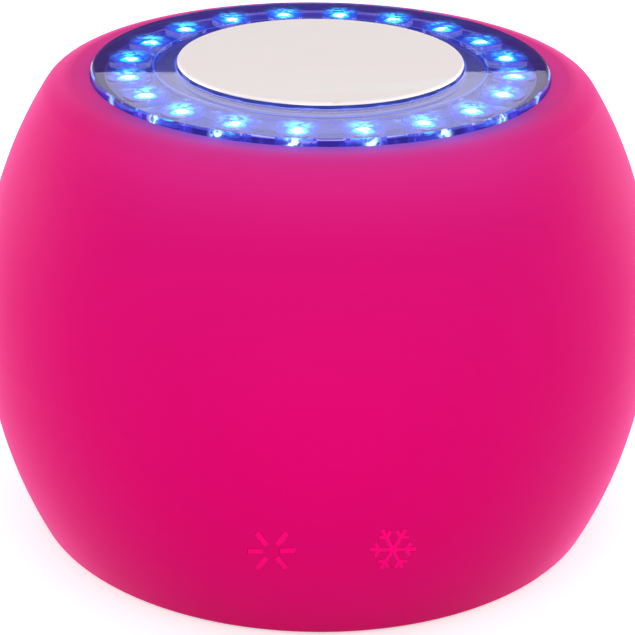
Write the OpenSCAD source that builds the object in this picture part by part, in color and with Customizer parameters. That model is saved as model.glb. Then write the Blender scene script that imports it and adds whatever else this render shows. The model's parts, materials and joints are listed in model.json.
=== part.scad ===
// Hot and cold facial massager: a barrel-shaped casing with a metal contact plate in a lit clear ring,
// two icon keys low on the front, and the heating and cooling stack, battery and motor inside.
// Millimetres, +Z up, the front faces -Y, and the origin is the centre of the base.

/* [Casing] */
// Radius of the casing at its widest place
belly_r = 30; // [28:0.1:33]
// Height of the widest place above the base
belly_z = 18.6; // [17:0.1:21]
// Radius of the casing where its side would meet the table
base_r = 25.7; // [24:0.1:28]
// How far the casing's top reaches past the clear ring
top_margin = 3.25; // [3:0.05:4]
// Height of the casing's flat top
casing_h = 40.7; // [38:0.1:45]
// Radius of the round between the side and the top
shoulder_r = 2.9; // [2.4:0.1:3.2]
// Radius of the round at the bottom edge
foot_edge_r = 0.8; // [0.3:0.1:1]
// Thickness of the casing's wall
wall_t = 2; // [1.6:0.1:2.1]

/* [Clear ring] */
// Outer radius of the clear ring
window_r = 19.75; // [19:0.05:21]
// Thickness of the clear ring
window_t = 2; // [1.8:0.1:2.2]
// How far the clear ring stands above the casing's top
window_proud = 0.6; // [0.4:0.05:0.8]
// Bevel at the clear ring's outer edge
window_bevel = 0.15; // [0.1:0.05:0.5]
// Width of the casing's ledge under the clear ring
ledge_w = 1.15; // [1:0.05:1.2]
// Thickness of that ledge
ledge_t = 1.4; // [1.2:0.1:1.8]

/* [Light ring] */
// Number of light sources in the ring
led_count = 20; // [12:1:20]
// Gap between the light sources and the casing's ledge
led_margin = 0.2; // [0.15:0.05:0.3]
// Length of a light source, along the radius
led_l = 3.5; // [2.8:0.1:3.5]
// Width of a light source
led_w = 2.8; // [2.4:0.1:3]
// Height of a light source
led_h = 1.9; // [1.6:0.1:2]
// Radius of a light source's round cup
led_cup_r = 1.2; // [1:0.05:1.3]
// Clear material over a light source
led_cover = 1; // [0.8:0.05:1.1]
// Thickness of the circuit boards
board_t = 1; // [0.8:0.1:1.2]

/* [Contact plate] */
// Radius of the contact plate
plate_r = 12.35; // [12:0.05:12.6]
// How far the plate stands above the clear ring
plate_step = 0.5; // [0.1:0.05:0.6]
// Round at the plate's rim
plate_edge_r = 0.22; // [0.1:0.02:0.3]
// Gap between the plate's flange and the light sources
flange_gap = 0.7; // [0.5:0.05:0.9]
// Thickness of the flange
flange_t = 1; // [0.8:0.05:1.2]

/* [Heating and cooling stack] */
// Width of the thermoelectric module
module_w = 15; // [14:0.5:16]
// Thickness of each of its ceramic plates
ceramic_t = 0.6; // [0.5:0.05:0.7]
// Height of its pellets
pellet_h = 1.6; // [1.4:0.1:1.8]
// Pellets along each side
pellet_rows = 6; // [4:1:7]
// Width of a pellet
pellet_w = 1.2; // [1:0.1:1.4]
// Thickness of the thermal pads
pad_t = 0.3; // [0.2:0.05:0.4]
// Width of the heat sink
sink_w = 22; // [21.6:0.1:22.6]
// Thickness of the heat sink's base
sink_base_t = 2; // [1.6:0.1:2.4]
// Thickness of a fin
fin_t = 0.9; // [0.6:0.1:1]
// Number of fins
fin_count = 8; // [5:1:9]

/* [Fan] */
// Height of the underside of the shelf that carries the fan
shelf_z = 13.35; // [12.5:0.05:15]
// Width of the fan
fan_w = 25; // [24.6:0.1:25]
// Thickness of the fan
fan_t = 7; // [6.8:0.1:7.4]
// Gap between the fan and the fins
fan_gap = 1; // [0.6:0.1:1.4]
// Thinnest place of the fan's frame around its duct
fan_rim = 1; // [0.8:0.1:1.2]
// Distance of the fan's screws from its sides
fan_hole_edge = 2.4; // [2.3:0.05:2.6]
// Radius of the rotor's hub
hub_r = 5; // [4.6:0.1:5.6]
// Number of blades
blade_count = 7; // [5:1:9]
// Slope of the blades
blade_slope = 38; // [30:1:45]
// Radius of the fan's shaft
fan_shaft_r = 0.75; // [0.5:0.05:0.9]

/* [Keys] */
// Distance of each key from the middle
key_x = 4.85; // [4.4:0.05:5.4]
// Height of the keys
key_z = 9.8; // [9.4:0.1:10.8]
// How far a key travels inwards
key_travel = 0.35; // [0.2:0.05:0.4]
// Half width of the icons
icon_r = 1.86; // [1.5:0.02:2]
// Height of the icons as a share of their width
icon_stretch = 1.3; // [1:0.05:1.35]
// Rise of each icon towards the middle, as a share of its width
icon_lean = 0.12; // [0:0.01:0.15]
// Width of the heat icon's rays
ray_w = 0.42; // [0.3:0.02:0.44]
// Width of the snowflake's arms
arm_w = 0.32; // [0.24:0.02:0.34]
// Width of the plate behind each icon
key_plate_w = 6.2; // [5.6:0.1:6.4]
// Height of the plate behind each icon
key_plate_h = 6.4; // [6:0.1:6.6]
// Thickness of the plate behind each icon
key_plate_t = 1; // [0.8:0.1:1.2]
// Width of a tact switch
switch_w = 3.2; // [2.8:0.1:3.6]
// Thickness of a tact switch
switch_t = 1.5; // [1.3:0.1:1.8]
// How far a switch's plunger stands out of it
plunger_out = 0.5; // [0.45:0.05:0.8]
// Radius of the plunger
plunger_r = 0.8; // [0.6:0.05:1]

/* [Battery and motor] */
// Thickness of the battery
battery_t = 6.5; // [5:0.1:6.6]
// Gap between the battery's corners and the casing
battery_side_gap = 0.7; // [0.5:0.1:2]
// Gap between the battery and the frame's deck
battery_top_gap = 3.85; // [3:0.05:6]
// Height of the battery's lower end
battery_z = 7; // [5:0.1:9]
// Thickness of the tape that holds the battery
tape_t = 0.5; // [0.3:0.1:0.6]
// Radius of the vibration motor
motor_r = 3; // [2.6:0.1:3.1]
// Length of the vibration motor
motor_l = 11; // [10:0.5:12]
// Radius of the motor's shaft
motor_shaft_r = 0.5; // [0.4:0.05:0.6]
// Radius of the eccentric weight
weight_r = 2.7; // [2.2:0.1:2.8]
// Length of the eccentric weight
weight_l = 4; // [3:0.5:4.5]

/* [Charging] */
// Radius of the charge socket's bore
jack_bore_r = 1.25; // [1.1:0.05:1.4]
// Depth of that bore
jack_bore_l = 9; // [7:0.5:9.5]
// Outer radius of the charge socket's nose
jack_nose_r = 2.4; // [2.1:0.1:2.6]
// Height of the charge socket
jack_z = 13; // [12:0.1:15]
// Thickness of the body of the socket
jack_body_w = 6; // [5.6:0.1:6.2]

/* [Base] */
// Width of the casing's rim around the base cover
rim_w = 2.3; // [2:0.1:2.6]
// Thickness of the base cover
cover_t = 2; // [1.6:0.1:2.2]
// How far the base cover lies above the casing's bottom edge
cover_recess = 0.6; // [0.5:0.1:0.8]
// Width of the rubber foot ring
foot_ring_w = 2.2; // [1.6:0.1:2.4]
// Depth of the groove that holds the foot ring
foot_groove = 0.7; // [0.5:0.05:0.9]
// Distance of the base screws from the base cover's edge
base_screw_inset = 2.5; // [2.2:0.05:2.8]
// Rings of holes in the intake grille
grille_rings = 4; // [2:1:4]
// Radius of a hole in the intake grille
grille_hole_r = 1; // [0.7:0.05:1.1]
// Exhaust slots in the casing's back
slot_count = 9; // [5:2:11]
// Width of an exhaust slot
slot_w = 1.4; // [1:0.1:1.6]
// Length of an exhaust slot
slot_l = 9; // [6:0.5:10]

/* [Screws and fits] */
// Radius of the screws' shanks
screw_r = 0.8; // [0.7:0.05:0.85]
// Radius of the screws' heads
screw_head_r = 1.5; // [1.4:0.05:1.6]
// Height of the screws' heads
screw_head_h = 1.2; // [1:0.1:1.3]
// Gap around pieces that are put into one another
fit = 0.1; // [0.06:0.01:0.12]
// Gap around pieces that slide or turn in one another
running_fit = 0.03; // [0.02:0.01:0.04]

/* [Hidden] */
$fn = 96;

// Casing heights and radii
top_r = window_r + top_margin;
top_in = belly_r - top_r;
base_in = belly_r - base_r;
lower_arc_r = (pow(base_in, 2) + pow(belly_z, 2)) / (2 * base_in);
upper_arc_r = (pow(top_in, 2) + pow(casing_h - belly_z, 2)) / (2 * top_in);
belly_span = belly_r + lower_arc_r + upper_arc_r;
lower_arc_x = belly_r - lower_arc_r;
upper_arc_x = belly_r - upper_arc_r;
window_top = casing_h + window_proud;
window_bottom = window_top - window_t;
deck_z = window_bottom - ledge_t;
deck_round = 0.8;
ledge_r = window_r - ledge_w;

// Radius of the casing's side at a height, drawn inset by a wall
function side_r(z, inset) = z < belly_z
    ? lower_arc_x + sqrt(pow(lower_arc_r - inset, 2) - pow(belly_z - z, 2))
    : upper_arc_x + sqrt(pow(upper_arc_r - inset, 2) - pow(z - belly_z, 2));

// Distance from the middle plane to a radius, for something that reaches out by a half width
function chord(r, half_width) = sqrt(pow(r, 2) - pow(half_width, 2));

// Base cover and the casing's bosses for it
cover_r = base_r - rim_w;
cover_bottom = cover_recess;
cover_top = cover_bottom + cover_t;
base_screw_r = cover_r - base_screw_inset;
base_screw_angle = 45;
base_screw_l = 5.4;
boss_r = 2;
boss_h = 6.4;
boss_top = cover_top + boss_h;
boss_pilot = 5.4;
rib_w = 1.6;
rib_l = 6;
foot_bevel = 0.25;

// Contact plate and light ring
plate_top = window_top + plate_step;
lip_t = 1;
flange_top = window_top - lip_t - fit / 2;
plate_bottom = flange_top - flange_t;
led_top = window_top - led_cover;
board_top = led_top - led_h;
frame_top = board_top - board_t;
led_board_r = ledge_r - 1.5 * fit;
led_ring_r = ledge_r - led_margin - led_l / 2;
flange_r = led_ring_r - led_l / 2 - flange_gap;
seal_w = 1.3;
seal_in_r = flange_r - seal_w;
led_angle = 180 / led_count;
led_round = 1.25;
sensor_size = [1.4, 2.4, 1];
sensor_gap = 1;

// Stack of the heating and cooling module, from the plate down
module_top = plate_bottom - pad_t;
pellets_top = module_top - ceramic_t;
pellets_bottom = pellets_top - pellet_h;
module_bottom = pellets_bottom - ceramic_t;
sink_top = module_bottom - pad_t;
sink_bottom = sink_top - sink_base_t;
shelf_t = 1.5;
fan_bottom = shelf_z + shelf_t;
fan_top = fan_bottom + fan_t;
fins_bottom = fan_top + fan_gap;
fin_h = sink_bottom - fins_bottom;
fan_duct_r = fan_w / 2 - fan_rim;
fan_hole_x = fan_w / 2 - fan_hole_edge;
pellet_margin = 0.6;
fin_inset = 2.5;
fin_span = sink_w - 2 * fin_inset;
sink_hole_edge = [1.2, 2];
sink_hole_x = sink_w / 2 - sink_hole_edge[0];
sink_hole_y = sink_w / 2 - sink_hole_edge[1];
small_head_r = 1.1;
small_head_h = 0.9;
board_head_r = 1.3;

// How far screws reach into what they hold, and how much deeper their pilot holes are
sink_bite = 1.2;
frame_bite = 1.5;
key_bite = 3.2;
board_bite = 2.4;
pilot_spare = 2 * fit;

// Fan pieces, with heights from the fan's underside
fan_round = 2;
hub_floor_t = 1;
strut_w = 1.4;
strut_root = 0.3;
bearing_wall = 0.4;
bearing_z = 0.6;
bearing_h = 4.2;
tube_wall = 0.5;
tube_r = fan_shaft_r + bearing_wall + tube_wall;
tube_h = 5;
stator_z = 1.4;
stator_h = 3;
stator_core = 0.6;
stator_pole_w = 1.8;
stator_gap = 0.6;
rotor_z = 1.3;
rotor_wall = 0.8;
rotor_top_gap = 0.6;
blade_gap = 0.4;
blade_root = 0.2;
blade_chord = 8;
blade_t = 0.7;
shaft_z = 0.7;
fan_head_w = 0.7;
fan_screw_l = shelf_t + fan_t - 0.6;

// Frame
post_w = 3;
post_in = fan_w / 2 + 2 * fit;
post_out = post_in + post_w;
ear_r = 1.9;
ear_arm = 4;
ear_dist = ledge_r + 2.1;
frame_r = ear_dist + ear_r;
ear_angle = 25;
ear_boss_r = 2;
fan_screw_r = 1.1;
notch_w = 5;
motor_wall_t = 1.5;

// Keys and their board, measured from the front wall inwards
key_low_r = side_r(key_z - key_plate_h / 2, wall_t);
key_front = -chord(key_low_r, key_x + key_plate_w / 2) + fit;
key_back = key_front + key_plate_t;
switch_front = key_back + plunger_out;
key_board_front = switch_front + switch_t;
key_board_back = key_board_front + board_t;
key_board_below = 4.2;
key_board_above = 4.6;
key_board_low = key_z - key_board_below;
key_board_high = key_z + key_board_above;
ray_angle = 51;
ray_in = 0.34 * icon_r;
ray_out = 1.02 * icon_r;
branch_at = 0.61 * icon_r;
branch_l = 0.34 * icon_r;
branch_w = 0.9 * arm_w;
branch_angle = 60;
icon_reach = 10;
plunger_in = 0.4;
indicator_size = [1.6, 0.6, 0.8];
indicator_drop = 1.4;
tongue_w = 3;
tongue_h = 3.4;
tongue_gap = 2.55;
tongue_x = key_x + key_plate_w / 2 + tongue_gap;
key_board_w = 2 * (tongue_x + tongue_w);
tongue_low = key_board_high - tongue_h;
key_screw_z = (tongue_low + key_board_high) / 2;
key_screw_x = tongue_x + tongue_w / 2;

// Rear board and socket
rear_board_inset = 0.7;
rear_board_w = 2 * (post_out - rear_board_inset);
rear_board_h = 12.5;
rear_board_gap = 0.5;
rear_board_low = boss_top + rear_board_gap;
chip_x = 7.6;
chip_w = 4.6;
chip_t = 0.9;
coil_w = 4.2;
coil_t = 2.2;
small_w = 0.8;
small_l = 1.6;
small_t = 0.6;
rear_board_high = rear_board_low + rear_board_h;
rear_face = post_out + board_t;
rear_screw_x = post_in + post_w / 2;
rear_screw_z = rear_board_high - 1.6;
jack_inset = 4 * fit;
jack_body_end = chord(side_r(jack_z - jack_body_w / 2, wall_t), jack_body_w / 2) - jack_inset;
jack_mouth = side_r(jack_z, 0) - jack_inset;

// Battery and motor
battery_x = post_out + tape_t;
battery_round = 1.6;
battery_board_t = 1;
battery_w = 2 * (chord(side_r(battery_z, wall_t), battery_x + battery_t) - battery_side_gap);
battery_top = sink_top - battery_top_gap - battery_board_t;
battery_h = battery_top - battery_z;
battery_board_inset = [0.6, 3];
tape_lap = 1.2;
tape_in = battery_w / 2 - battery_round - tape_lap;
tape_out = post_in + tape_lap;
tape_above = 8;
tape_below = 0.6;
holder_h = 8;
holder_wall = 0.9;
holder_lift = 1.4;
motor_gap = 0.6;
motor_lift = 2.4;
motor_x = -(post_out + motor_r + running_fit + motor_gap);
motor_bottom = shelf_z + motor_lift;
motor_top = motor_bottom + motor_l;
holder_z = motor_bottom + holder_lift;
weight_gap = 0.5;
weight_hub_wall = 0.7;
weight_top = motor_bottom - weight_gap;
weight_bottom = weight_top - weight_l;
motor_cap_t = 1;
motor_shaft_gap = 0.2;
motor_shaft_l = motor_top - motor_cap_t - motor_shaft_gap - weight_bottom;

// Base
grille_edge = 3.3;
foot_ring_gap = 1;
foot_ring_r = base_screw_r - screw_head_r - fit - foot_ring_w / 2 - foot_ring_gap;
grille_pitch = (foot_ring_r - foot_ring_w / 2 - grille_edge) / grille_rings;
slot_z = (sink_bottom + fins_bottom) / 2;
slot_pitch = 7;

wire_r = 0.35;
thin_wire_r = 0.3;
wire_pad_x = rear_board_w / 2 - 1.2;
tiny = 0.01;

// How far a cut reaches past what it cuts
past = 1;

// Casing outline

// One side arc as a half disc, cut to the heights where it is the casing's side.
module side_arc(arc_x, arc_r, low, high) {
    intersection() {
        translate([arc_x, belly_z])
            circle(r = arc_r);
        translate([0, low])
            square([belly_span, high - low]);
    }
}

// The half outline of the casing, drawn inset by the wall and up to a chosen height.
module casing_outline(inset, top, round_r) {
    high_arc = upper_arc_r - inset;
    round_z = top - round_r;
    round_x = upper_arc_x + sqrt(pow(high_arc - round_r, 2) - pow(round_z - belly_z, 2));
    away = [round_x - upper_arc_x, round_z - belly_z] / (high_arc - round_r);
    difference() {
        union() {
            side_arc(lower_arc_x, lower_arc_r - inset, 0, belly_z);
            side_arc(upper_arc_x, high_arc, belly_z, top);
        }
        difference() {
            polygon([
                [round_x, round_z],
                [round_x, top + round_r],
                [round_x + 3 * round_r, top + round_r],
                [round_x + 3 * round_r * away[0], round_z + 3 * round_r * away[1]]
            ]);
            translate([round_x, round_z])
                circle(r = round_r);
        }
    }
}

// What the round at the casing's bottom edge takes away.
module foot_edge_cut() {
    round_x = lower_arc_x + sqrt(pow(lower_arc_r - foot_edge_r, 2) - pow(belly_z - foot_edge_r, 2));
    away = [round_x - lower_arc_x, foot_edge_r - belly_z] / (lower_arc_r - foot_edge_r);
    difference() {
        polygon([
            [round_x, foot_edge_r],
            [round_x, -foot_edge_r],
            [round_x + 3 * foot_edge_r, -foot_edge_r],
            [round_x + 3 * foot_edge_r * away[0], foot_edge_r + 3 * foot_edge_r * away[1]]
        ]);
        translate([round_x, foot_edge_r])
            circle(r = foot_edge_r);
    }
}

module casing_solid() {
    rotate_extrude($fn = 180)
        difference() {
            casing_outline(0, casing_h, shoulder_r);
            foot_edge_cut();
        }
}

module casing_hollow() {
    rotate_extrude($fn = 180)
        casing_outline(wall_t, deck_z, deck_round);
    translate([0, 0, -past])
        cylinder(r = cover_r + fit, h = cover_top + 2 * past);
}

// Icon shapes

// A point of an icon, drawn tall and leaning towards the middle of the casing.
function icon_point(x, y, lean) = [x, y * icon_stretch + lean * x];

// A straight bar from radius a to radius b in the given direction, grown by a clearance.
module icon_bar(angle, a, b, width, grow, lean) {
    h = width / 2 + grow;
    corners = [[a - grow, -h], [b + grow, -h], [b + grow, h], [a - grow, h]];
    polygon([
        for (p = corners)
            icon_point(p[0] * cos(angle) - p[1] * sin(angle), p[0] * sin(angle) + p[1] * cos(angle), lean)
    ]);
}

module heat_icon(grow) {
    for (half = [0, 180]) {
        for (angle = [-ray_angle, 0, ray_angle])
            icon_bar(half + angle, ray_in, ray_out, ray_w, grow, icon_lean);
    }
}

// A branch leaves its arm at radius a and points outwards at its own angle to it.
module icon_branch(angle, side, a, length, grow, lean) {
    h = branch_w / 2 + grow;
    tilt = angle + side * branch_angle;
    corners = [[0, -h], [length + grow, -h], [length + grow, h], [0, h]];
    polygon([
        for (p = corners)
            icon_point(
                a * cos(angle) + p[0] * cos(tilt) - p[1] * sin(tilt),
                a * sin(angle) + p[0] * sin(tilt) + p[1] * cos(tilt),
                lean
            )
    ]);
}

module cold_icon(grow) {
    for (i = [0:2])
        icon_bar(60 * i, -icon_r, icon_r, arm_w, grow, -icon_lean);
    for (i = [0:5]) {
        for (side = [-1, 1])
            icon_branch(60 * i, side, branch_at, branch_l, grow, -icon_lean);
    }
}

// An icon as a prism along Y, from the key's plate out through the wall.
module icon_prism(x, front) {
    translate([x, front, key_z])
        rotate([90, 0, 0])
            linear_extrude(icon_reach)
                children();
}

// Shared small pieces

module at_corners(dist_x, dist_y) {
    for (x = [-1, 1]) {
        for (y = [-1, 1])
            translate([x * dist_x, y * dist_y, 0])
                children();
    }
}

module at_four(dist, first_angle) {
    for (i = [0:3])
        rotate([0, 0, first_angle + 90 * i])
            translate([dist, 0, 0])
                children();
}

// A flat plate with round corners, standing on its own z = 0.
module round_plate(w, d, h, r) {
    linear_extrude(h) {
        square([w - 2 * r, d], center = true);
        square([w, d - 2 * r], center = true);
        for (x = [-1, 1]) {
            for (y = [-1, 1])
                translate([x * (w / 2 - r), y * (d / 2 - r)])
                    circle(r = r, $fn = 32);
        }
    }
}

// A screw that points up from its head at z = 0, with a cross recess.
module screw_up(head_r, head_h, shank_r, length) {
    recess_l = 1.2 * head_r;
    recess_w = 0.24 * head_r;
    recess_h = 0.5 * head_h;
    difference() {
        union() {
            cylinder(r = head_r, h = head_h, $fn = 32);
            cylinder(r = shank_r, h = head_h + length, $fn = 32);
        }
        for (a = [0, 90])
            rotate([0, 0, a])
                translate([-recess_l / 2, -recess_w / 2, -tiny])
                    cube([recess_l, recess_w, recess_h]);
    }
}

// Wires

function catmull(p0, p1, p2, p3, t) =
    0.5 * (2 * p1 + (p2 - p0) * t + (2 * p0 - 5 * p1 + 4 * p2 - p3) * t * t
        + (3 * p1 - p0 - 3 * p2 + p3) * t * t * t);

function wire_path(pts, steps) = [
    for (i = [0:len(pts) - 2])
        for (s = [0:steps - 1])
            catmull(pts[max(i - 1, 0)], pts[i], pts[i + 1], pts[min(i + 2, len(pts) - 1)], s / steps),
    pts[len(pts) - 1]
];

function unit(v) = v / norm(v);

// Each ring's first direction is the last ring's, made square to the path again.
function carried(path, dirs, i, last) =
    i == len(path) ? [] : concat([unit(last - dirs[i] * (last * dirs[i]))],
        carried(path, dirs, i + 1, unit(last - dirs[i] * (last * dirs[i]))));

// A wire is a tube of eight sides, swept along a smooth line through its points.
// Its two ends are square to the first and last direction that are given.
module wire(pts, r, start_dir, end_dir) {
    sides = 8;
    path = wire_path(pts, 4);
    n = len(path);
    dirs = [
        for (i = [0:n - 1])
            i == 0 ? unit(start_dir) : i == n - 1 ? unit(end_dir) : unit(path[i + 1] - path[i - 1])
    ];
    first = abs(dirs[0][2]) > 0.7 ? [1, 0, 0] : [0, 0, 1];
    across = carried(path, dirs, 0, first);
    ring_pts = [
        for (i = [0:n - 1])
            for (k = [0:sides - 1])
                path[i] + r * (cos(360 * k / sides) * across[i]
                    + sin(360 * k / sides) * cross(dirs[i], across[i]))
    ];
    walls = [
        for (i = [0:n - 2])
            for (k = [0:sides - 1])
                [i * sides + k, i * sides + (k + 1) % sides,
                    (i + 1) * sides + (k + 1) % sides, (i + 1) * sides + k]
    ];
    ends = [
        [for (k = [0:sides - 1]) sides - 1 - k],
        [for (k = [0:sides - 1]) (n - 1) * sides + k]
    ];
    polyhedron(ring_pts, [for (f = concat(walls, ends)) [for (j = [len(f) - 1:-1:0]) f[j]]]);
}

// Casing

module outer_shell() {
    color("#e0117a")
        difference() {
            union() {
                difference() {
                    casing_solid();
                    casing_hollow();
                }
                base_bosses();
                frame_bosses();
            }
            translate([0, 0, window_bottom])
                cylinder(r = window_r + fit, h = window_t + past);
            translate([0, 0, deck_z - past])
                cylinder(r = ledge_r, h = window_t + ledge_t + 2 * past);
            icon_prism(-key_x, key_front - fit)
                heat_icon(running_fit);
            icon_prism(key_x, key_front - fit)
                cold_icon(running_fit);
            translate([0, 0, jack_z])
                rotate([-90, 0, 0])
                    cylinder(r = jack_nose_r + fit, h = belly_r + past);
            exhaust_slots();
            at_four(base_screw_r, base_screw_angle)
                translate([0, 0, cover_top - past])
                    cylinder(r = screw_r + fit / 2, h = boss_pilot + past, $fn = 32);
            at_four(ear_dist, ear_angle)
                translate([0, 0, frame_top - past])
                    cylinder(r = screw_r + fit / 2, h = frame_bite + pilot_spare + past, $fn = 32);
        }
}

// Four bosses at the bottom take the base screws, each on a rib to the wall.
module base_bosses() {
    intersection() {
        at_four(base_screw_r, base_screw_angle)
            translate([0, 0, cover_top]) {
                cylinder(r = boss_r, h = boss_top - cover_top, $fn = 48);
                translate([0, -rib_w / 2, 0])
                    cube([rib_l, rib_w, boss_top - cover_top]);
            }
        casing_solid();
    }
}

// Four short bosses under the deck take the frame's screws.
module frame_bosses() {
    intersection() {
        at_four(ear_dist, ear_angle)
            translate([0, 0, frame_top])
                cylinder(r = ear_boss_r, h = window_bottom - frame_top, $fn = 48);
        casing_solid();
    }
}

module exhaust_slots() {
    for (i = [0:slot_count - 1])
        rotate([0, 0, (i - (slot_count - 1) / 2) * slot_pitch])
            translate([0, 0, slot_z])
                rotate([-90, 0, 0])
                    linear_extrude(belly_r + 2 * past) {
                        square([slot_w, slot_l - slot_w], center = true);
                        for (s = [-1, 1])
                            translate([0, s * (slot_l - slot_w) / 2])
                                circle(r = slot_w / 2, $fn = 32);
                    }
}

module base_cover() {
    color("#c40f68")
        difference() {
            translate([0, 0, cover_bottom])
                cylinder(r = cover_r, h = cover_t);
            foot_groove_space(fit);
            intake_grille();
            at_four(base_screw_r, base_screw_angle) {
                translate([0, 0, cover_bottom - past])
                    cylinder(r = screw_r + fit, h = cover_t + 2 * past, $fn = 32);
                translate([0, 0, cover_bottom - past])
                    cylinder(r = screw_head_r + fit, h = screw_head_h + past, $fn = 32);
            }
        }
}

module foot_groove_space(gap) {
    translate([0, 0, cover_bottom - past])
        difference() {
            cylinder(r = foot_ring_r + foot_ring_w / 2 + gap, h = foot_groove + past);
            translate([0, 0, -past])
                cylinder(r = foot_ring_r - foot_ring_w / 2 - gap, h = foot_groove + 3 * past);
        }
}

module intake_grille() {
    for (ring = [0:grille_rings]) {
        count = ring == 0 ? 1 : 6 * ring;
        for (i = [0:count - 1])
            rotate([0, 0, 360 * i / count])
                translate([ring * grille_pitch, 0, cover_bottom - past])
                    cylinder(r = grille_hole_r, h = cover_t + 2 * past, $fn = 32);
    }
}

module foot_ring() {
    color("#3a3a3d")
        rotate_extrude()
            translate([foot_ring_r - foot_ring_w / 2, 0])
                difference() {
                    square([foot_ring_w, cover_recess + foot_groove]);
                    for (side = [0, 1])
                        translate([side * foot_ring_w, 0])
                            mirror([side, 0])
                                polygon([
                                    [-past, -past], [foot_bevel, -past], [foot_bevel, 0],
                                    [0, foot_bevel], [-past, foot_bevel]
                                ]);
                }
}

module base_screws() {
    color("silver")
        at_four(base_screw_r, base_screw_angle)
            translate([0, 0, cover_bottom])
                screw_up(screw_head_r, screw_head_h, screw_r, base_screw_l);
}

// Clear ring and its light

module led_places() {
    for (i = [0:led_count - 1])
        rotate([0, 0, led_angle + 360 * i / led_count])
            translate([led_ring_r, 0, 0])
                children();
}

module light_window() {
    pocket_l = led_l + 2 * fit;
    pocket_w = led_w + 4 * fit;
    pocket_h = led_top - window_bottom + fit / 2;
    color("#b9b2e8", 0.45)
        difference() {
            rotate_extrude()
                polygon([
                    [plate_r + fit, window_bottom],
                    [window_r, window_bottom],
                    [window_r, window_top - window_bevel],
                    [window_r - window_bevel, window_top],
                    [plate_r + fit, window_top]
                ]);
            translate([0, 0, window_bottom - past])
                cylinder(r = flange_r + fit, h = window_t - lip_t + past);
            led_places()
                translate([0, 0, window_bottom - past])
                    round_plate(pocket_l, pocket_w, pocket_h + past, led_round + fit);
        }
}

module led_board() {
    color("#1c2350")
        translate([0, 0, frame_top])
            difference() {
                cylinder(r = led_board_r, h = board_t);
                translate([0, 0, -past])
                    cylinder(r = seal_in_r, h = board_t + 2 * past);
            }
}

module led_packages() {
    color("#e8ecff")
        led_places()
            translate([0, 0, board_top])
                difference() {
                    round_plate(led_l, led_w, led_h, led_round);
                    translate([0, 0, led_h / 2])
                        cylinder(r = led_cup_r, h = led_h, $fn = 32);
                }
}

module led_lenses() {
    color("#39a8ff")
        led_places()
            translate([0, 0, board_top + led_h / 2])
                cylinder(r = led_cup_r - tiny, h = led_h / 2, $fn = 32);
}

// Contact plate and what is under it

module contact_plate() {
    color("#ece4e0")
        rotate_extrude()
            difference() {
                union() {
                    translate([0, plate_bottom])
                        square([plate_r, plate_top - plate_bottom]);
                    translate([0, plate_bottom])
                        square([flange_r, flange_t]);
                }
                difference() {
                    translate([plate_r - plate_edge_r, plate_top - plate_edge_r])
                        square(2 * plate_edge_r);
                    translate([plate_r - plate_edge_r, plate_top - plate_edge_r])
                        circle(r = plate_edge_r, $fn = 48);
                }
            }
}

module plate_seal() {
    color("#f2f2f2")
        translate([0, 0, board_top])
            difference() {
                cylinder(r = flange_r - fit, h = plate_bottom - board_top);
                translate([0, 0, -past])
                    cylinder(r = seal_in_r + fit, h = plate_bottom - board_top + 2 * past);
            }
}

module temperature_sensor() {
    color("#2b2b2b")
        translate([module_w / 2 + sensor_gap, -sensor_size[1] / 2, plate_bottom - sensor_size[2]])
            cube(sensor_size);
}

module thermal_pads() {
    color("#9fb4c8") {
        translate([-module_w / 2, -module_w / 2, module_top])
            cube([module_w, module_w, pad_t]);
        translate([-module_w / 2, -module_w / 2, sink_top])
            cube([module_w, module_w, pad_t]);
    }
}

module ceramic(z) {
    translate([-module_w / 2, -module_w / 2, z])
        cube([module_w, module_w, ceramic_t]);
}

module peltier_top_plate() {
    color("#f4f4ee")
        ceramic(pellets_top);
}

module peltier_pellets() {
    pitch = (module_w - 2 * pellet_margin) / pellet_rows;
    color("#7c7f86")
        for (i = [0:pellet_rows - 1]) {
            for (j = [0:pellet_rows - 1])
                translate([
                    (i - (pellet_rows - 1) / 2) * pitch - pellet_w / 2,
                    (j - (pellet_rows - 1) / 2) * pitch - pellet_w / 2,
                    pellets_bottom
                ])
                    cube([pellet_w, pellet_w, pellet_h]);
        }
}

module peltier_bottom_plate() {
    color("#f4f4ee")
        ceramic(module_bottom);
}

module heat_sink() {
    fin_pitch = (fin_span - fin_t) / (fin_count - 1);
    color("#b8bcc2")
        difference() {
            union() {
                translate([-sink_w / 2, -sink_w / 2, sink_bottom])
                    cube([sink_w, sink_w, sink_base_t]);
                for (i = [0:fin_count - 1])
                    translate([-fin_span / 2 + i * fin_pitch, -sink_w / 2, fins_bottom])
                        cube([fin_t, sink_w, fin_h + sink_base_t / 2]);
            }
            at_corners(sink_hole_x, sink_hole_y)
                translate([0, 0, sink_bottom - past])
                    cylinder(r = screw_r + fit, h = sink_base_t + 2 * past, $fn = 32);
        }
}

module sink_screws() {
    color("silver")
        at_corners(sink_hole_x, sink_hole_y)
            translate([0, 0, sink_bottom - small_head_h])
                screw_up(small_head_r, small_head_h, screw_r, sink_base_t + sink_bite);
}

// Frame

module inner_frame() {
    color("#e9e9ea")
        difference() {
            union() {
                frame_deck();
                frame_posts();
                frame_shelf();
                key_tongues();
                motor_wall();
            }
            frame_holes();
        }
}

// The deck carries the light ring's board and hangs from the casing by four ears.
module frame_deck() {
    translate([0, 0, sink_top]) {
        cylinder(r = led_board_r, h = frame_top - sink_top);
        at_four(ear_dist, ear_angle)
            cylinder(r = ear_r, h = frame_top - sink_top, $fn = 48);
        at_four(ear_dist, ear_angle)
            translate([-ear_arm, -ear_r, 0])
                cube([ear_arm, 2 * ear_r, frame_top - sink_top]);
        frame_square(0, frame_top - sink_top);
    }
}

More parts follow.
